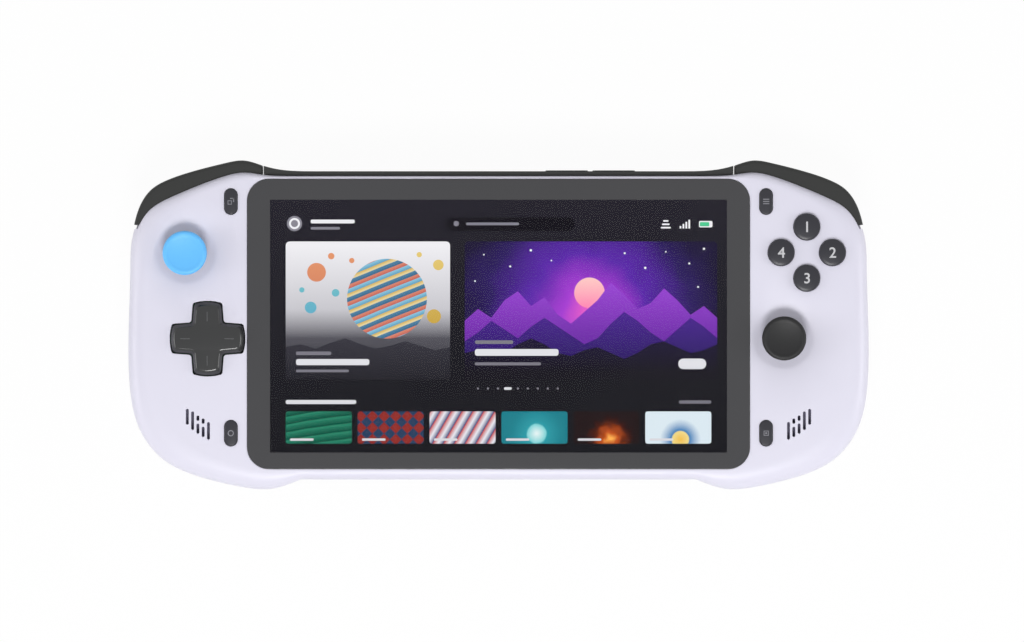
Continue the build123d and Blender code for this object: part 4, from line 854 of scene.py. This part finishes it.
litLooks = {
    "litGround": fieldFade((0.0, "#18181D"), (0.6, "#201F26"), (1.0, "#25232C")),
    "litWords": fieldFade((0.0, "#D8D8DE"), (1.0, "#F2F2F6")),
    "litFaintWords": fieldFade((0.0, "#77757F"), (1.0, "#8A8893")),
    "litDarkField": fieldFade((0.0, "#121116"), (1.0, "#17151C")),
    "litGreen": fieldFade((0.0, "#3FBF86"), (1.0, "#4FCB92")),
    "litEvening": litGlow((30, 4), 46, [
        (0.0, "#E85FC8"), (0.18, "#A73FD2"), (0.45, "#5B2BA8"), (0.75, "#30215F"), (1.0, "#211B38")], 0.30),
    "litSun": litFade(5, 17, [(0.0, "#FF7FB2"), (1.0, "#FFD0C8")]),
    "litFarHills": litFade(-5, 16, [(0.0, "#6E2FA6"), (1.0, "#9C49D6")]),
    "litMiddleHills": litFade(-10, 6, [(0.0, "#33206A"), (1.0, "#4F2A94")]),
    "litNearHills": litFade(-16, -2, [(0.0, "#1C1A22"), (1.0, "#231B3B")]),
    "litPaleCard": litFade(-18, 27, [
        (0.0, "#2A2930"), (0.30, "#55545C"), (0.52, "#C9C8CE"), (1.0, "#F0EFF3")]),
    "litBall": litWaves((-38, 9), 22, 5.4, 0.6, [
        (0.0, "#E9D9A8"), (0.22, "#D9B45E"), (0.24, "#5F9FC0"), (0.48, "#8FC7DE"), (0.50, "#C4645A"),
        (0.72, "#DD8A72"), (0.74, "#3E6B8C"), (1.0, "#5687A8")]),
    "litDot0": litFade(0, 26, [(0.0, "#C76F5A"), (1.0, "#E79A6E")]),
    "litDot1": litFade(0, 26, [(0.0, "#5FA8C8"), (1.0, "#7FD0C8")]),
    "litDot2": litFade(0, 26, [(0.0, "#C9A548"), (1.0, "#E8CC78")]),
    "litCardFoot": litFade(-18, -4, [(0.0, "#26252C"), (1.0, "#3A3942")]),
    "litTileGreen": litWaves((-62, -35), 8, 2.6, 2.0, [(0.0, "#0F4A3A"), (0.5, "#1E6B55"), (1.0, "#2C8A6C")]),
    "litTileDiamonds": litChecks((-37, -35), 45, 2.8, "#8E2F2A", "#2B3F5E"),
    "litTileStripes": litWaves((-12, -35), 60, 3.2, 0.0, [(0.0, "#2A3A78"), (0.5, "#E7E7EE"), (1.0, "#C43A3A")]),
    "litTileTeal": litGlow((13, -37), 9, [
        (0.0, "#E8F6F6"), (0.35, "#7FD3D6"), (0.4, "#2E9AA6"), (1.0, "#1F7F8C")], 0.1),
    "litTileEmber": litGlow((38, -39), 8, [
        (0.0, "#FFB454"), (0.3, "#C4531E"), (0.7, "#4A1E14"), (1.0, "#221618")], 0.8),
    "litTileSun": litGlow((62, -39), 7, [
        (0.0, "#F2C14E"), (0.4, "#F0D98C"), (0.45, "#3D7FB8"), (1.0, "#DCEAF2")], 0.05),
}

# A tile's row: layer, look, middle, size, corner and steps of a corner. A disc's: layer, look, middle, radius and
# sides. A range of hills: layer, look, reach along X and heights above the foot, left to right
homeMarks = [
    # top row: round sign, two lines of words, clock pill, three small signs on the right
    ("disc", 1, "litFaintWords", (-69.5, 34.6), 2.6, 40),
    ("disc", 2, "litWords", (-69.5, 34.6), 1.9, 32),
    ("disc", 3, "litFaintWords", (-69.5, 34.6), 1.2, 32),
    ("tile", 1, "litWords", (-56.5, 35.3), (15.0, 1.3), 0.5, 5),
    ("tile", 1, "litFaintWords", (-59.0, 33.0), (10.0, 0.9), 0.4, 5),
    ("tile", 1, "litDarkField", (4.0, 34.4), (44.0, 4.6), 2.25, 10),
    ("disc", 2, "litFaintWords", (-14.4, 34.6), 0.9, 20),
    ("tile", 2, "litFaintWords", (-2.0, 34.5), (18.0, 0.9), 0.4, 5),
    ("tile", 1, "litWords", (57.0, 33.2), (3.4, 0.55), 0.25, 5),
    ("tile", 1, "litWords", (57.0, 34.35), (2.6, 0.55), 0.25, 5),
    ("tile", 1, "litWords", (57.0, 35.5), (1.8, 0.55), 0.25, 5),
    ("tile", 1, "litWords", (62.0, 33.35), (0.6, 0.9), 0.15, 5),
    ("tile", 1, "litWords", (63.0, 33.7), (0.6, 1.6), 0.15, 5),
    ("tile", 1, "litWords", (64.0, 34.05), (0.6, 2.3), 0.15, 5),
    ("tile", 1, "litWords", (65.0, 34.4), (0.6, 3.0), 0.15, 5),
    ("tile", 1, "litWords", (70.6, 34.4), (4.6, 2.2), 0.5, 5),
    ("tile", 2, "litGreen", (70.2, 34.4), (3.2, 1.4), 0.25, 5),
    # wide panel on the right: hills under a violet evening sky
    ("tile", 1, "litEvening", (31.5, 5.0), (86.0, 47.0), 1.4, 8),
    ("disc", 2, "litSun", (31.0, 11.0), 5.2, 56),
    ("hills", 3, "litFarHills", (-11.5, 74.5),
     [20, 24, 21, 27, 30, 25, 28, 22, 19, 23, 27, 33, 29, 24, 26, 31, 27, 22, 25, 21]),
    ("hills", 4, "litMiddleHills", (-11.5, 74.5),
     [13, 16, 20, 17, 14, 18, 21, 18, 15, 12, 14, 19, 23, 20, 16, 13, 17, 21, 18, 14]),
    ("hills", 5, "litNearHills", (-11.5, 74.5),
     [9, 10, 8, 9, 12, 14, 12, 9, 8, 10, 11, 9, 7, 9, 12, 13, 11, 9, 10, 12]),
    ("tile", 6, "litFaintWords", (-1.5, -5.8), (13.0, 1.2), 0.5, 5),
    ("tile", 6, "litWords", (6.2, -9.3), (28.5, 2.3), 0.8, 5),
    ("tile", 6, "litFaintWords", (3.2, -13.2), (22.5, 1.0), 0.4, 5),
    ("tile", 6, "litWords", (66.0, -13.2), (9.5, 3.6), 1.75, 8),
    # pale card on the left: a striped ball and small discs over low hills
    ("tile", 1, "litPaleCard", (-44.5, 5.0), (56.0, 47.0), 1.4, 8),
    ("disc", 2, "litBall", (-38.0, 9.0), 13.6, 72),
    ("hills", 9, "litCardFoot", (-72.5, -16.5), [11, 12, 10.5, 12.5, 14, 12, 10.5, 11.5, 13, 11.5, 10, 11]),
    ("tile", 10, "litFaintWords", (-63.0, -9.6), (12.0, 1.2), 0.5, 5),
    ("tile", 10, "litWords", (-56.5, -12.6), (25.0, 2.1), 0.8, 5),
    ("tile", 10, "litFaintWords", (-60.0, -15.6), (18.0, 0.9), 0.4, 5),
    # heading over the row of tiles
    ("tile", 1, "litWords", (-60.5, -26.2), (24.0, 1.4), 0.6, 5),
    ("tile", 1, "litFaintWords", (67.0, -26.2), (11.0, 1.1), 0.5, 5),
]
for n, star in enumerate(stars):
    starRadius = homeScreen["starRadius"] + homeScreen["starGrowth"] * (n % 3)
    homeMarks.append(("disc", 2, "litWords", star, starRadius, 12))
for n, (x, y, radius) in enumerate(dots):
    homeMarks.append(("disc", 3, "litDot%d" % (n % 3), (x, y), radius, 32))
for n in range(pageMarks["count"]):
    markPlace = (pageMarks["firstX"] + n * pageMarks["pitch"], pageMarks["y"])
    if n == pageMarks["current"]:
        size, corner = pageMarks["currentSize"], pageMarks["currentCorner"]
        homeMarks.append(("tile", 1, "litWords", markPlace, size, corner, 6))
    else:
        homeMarks.append(("disc", 1, "litFaintWords", markPlace, pageMarks["radius"], 16))
for n, look in enumerate(tileRow["looks"]):
    along = n * tileRow["pitch"]
    tilePlace = (tileRow["firstX"] + along, tileRow["y"])
    wordPlace = (tileRow["wordX"] + along, tileRow["wordY"])
    homeMarks.append(("tile", 1, look, tilePlace, tileRow["size"], tileRow["corner"], 6))
    homeMarks.append(("tile", 2, "litWords", wordPlace, tileRow["wordSize"], tileRow["wordCorner"], 5))


def makeHomeScreen():
    h = homeScreen
    indices = {look: n for n, look in enumerate(litLooks)}
    bm = bmesh.new()
    litWindow(bm, h["backGap"], h["level"], h["backThick"])

    def thicken(verts, look):
        faces = list({f for v in verts for f in v.link_faces})
        for face in faces:
            face.material_index = indices[look]
        grown = bmesh.ops.extrude_face_region(bm, geom=faces)
        shift(bm, grown["geom"], 0, 0, -h["thin"])

    for kind, layer, look, place, *form in homeMarks:
        z = h["level"] + layer * h["step"]
        if kind == "tile":
            size, corner, steps = form
            roundedSlab(bm, place, size, corner, z, h["thin"], indices[look], segments=steps)
        elif kind == "disc":
            radius, sides = form
            made = bmesh.ops.create_circle(bm, segments=sides, radius=radius * mm, cap_ends=True)
            shift(bm, made["verts"], place[0], place[1], z)
            thicken(made["verts"], look)
        else:
            heights = form[0]
            made = bmesh.ops.create_grid(bm, x_segments=len(heights) - 1, y_segments=1, size=0.5)
            for vert in made["verts"]:
                share = vert.co.x + 0.5
                height = heights[round(share * (len(heights) - 1))] if vert.co.y > 0 else 0
                x = place[0] + (place[1] - place[0]) * share
                vert.co = Vector((x, h["footY"] + height, z)) * mm
            thicken(made["verts"], look)
    bmesh.ops.recalc_face_normals(bm, faces=bm.faces)
    return finishMesh(bm, "homeScreen", [litMaterial(look, build) for look, build in litLooks.items()])


seat(makeHomeScreen(), "root", "display")
print("screen")
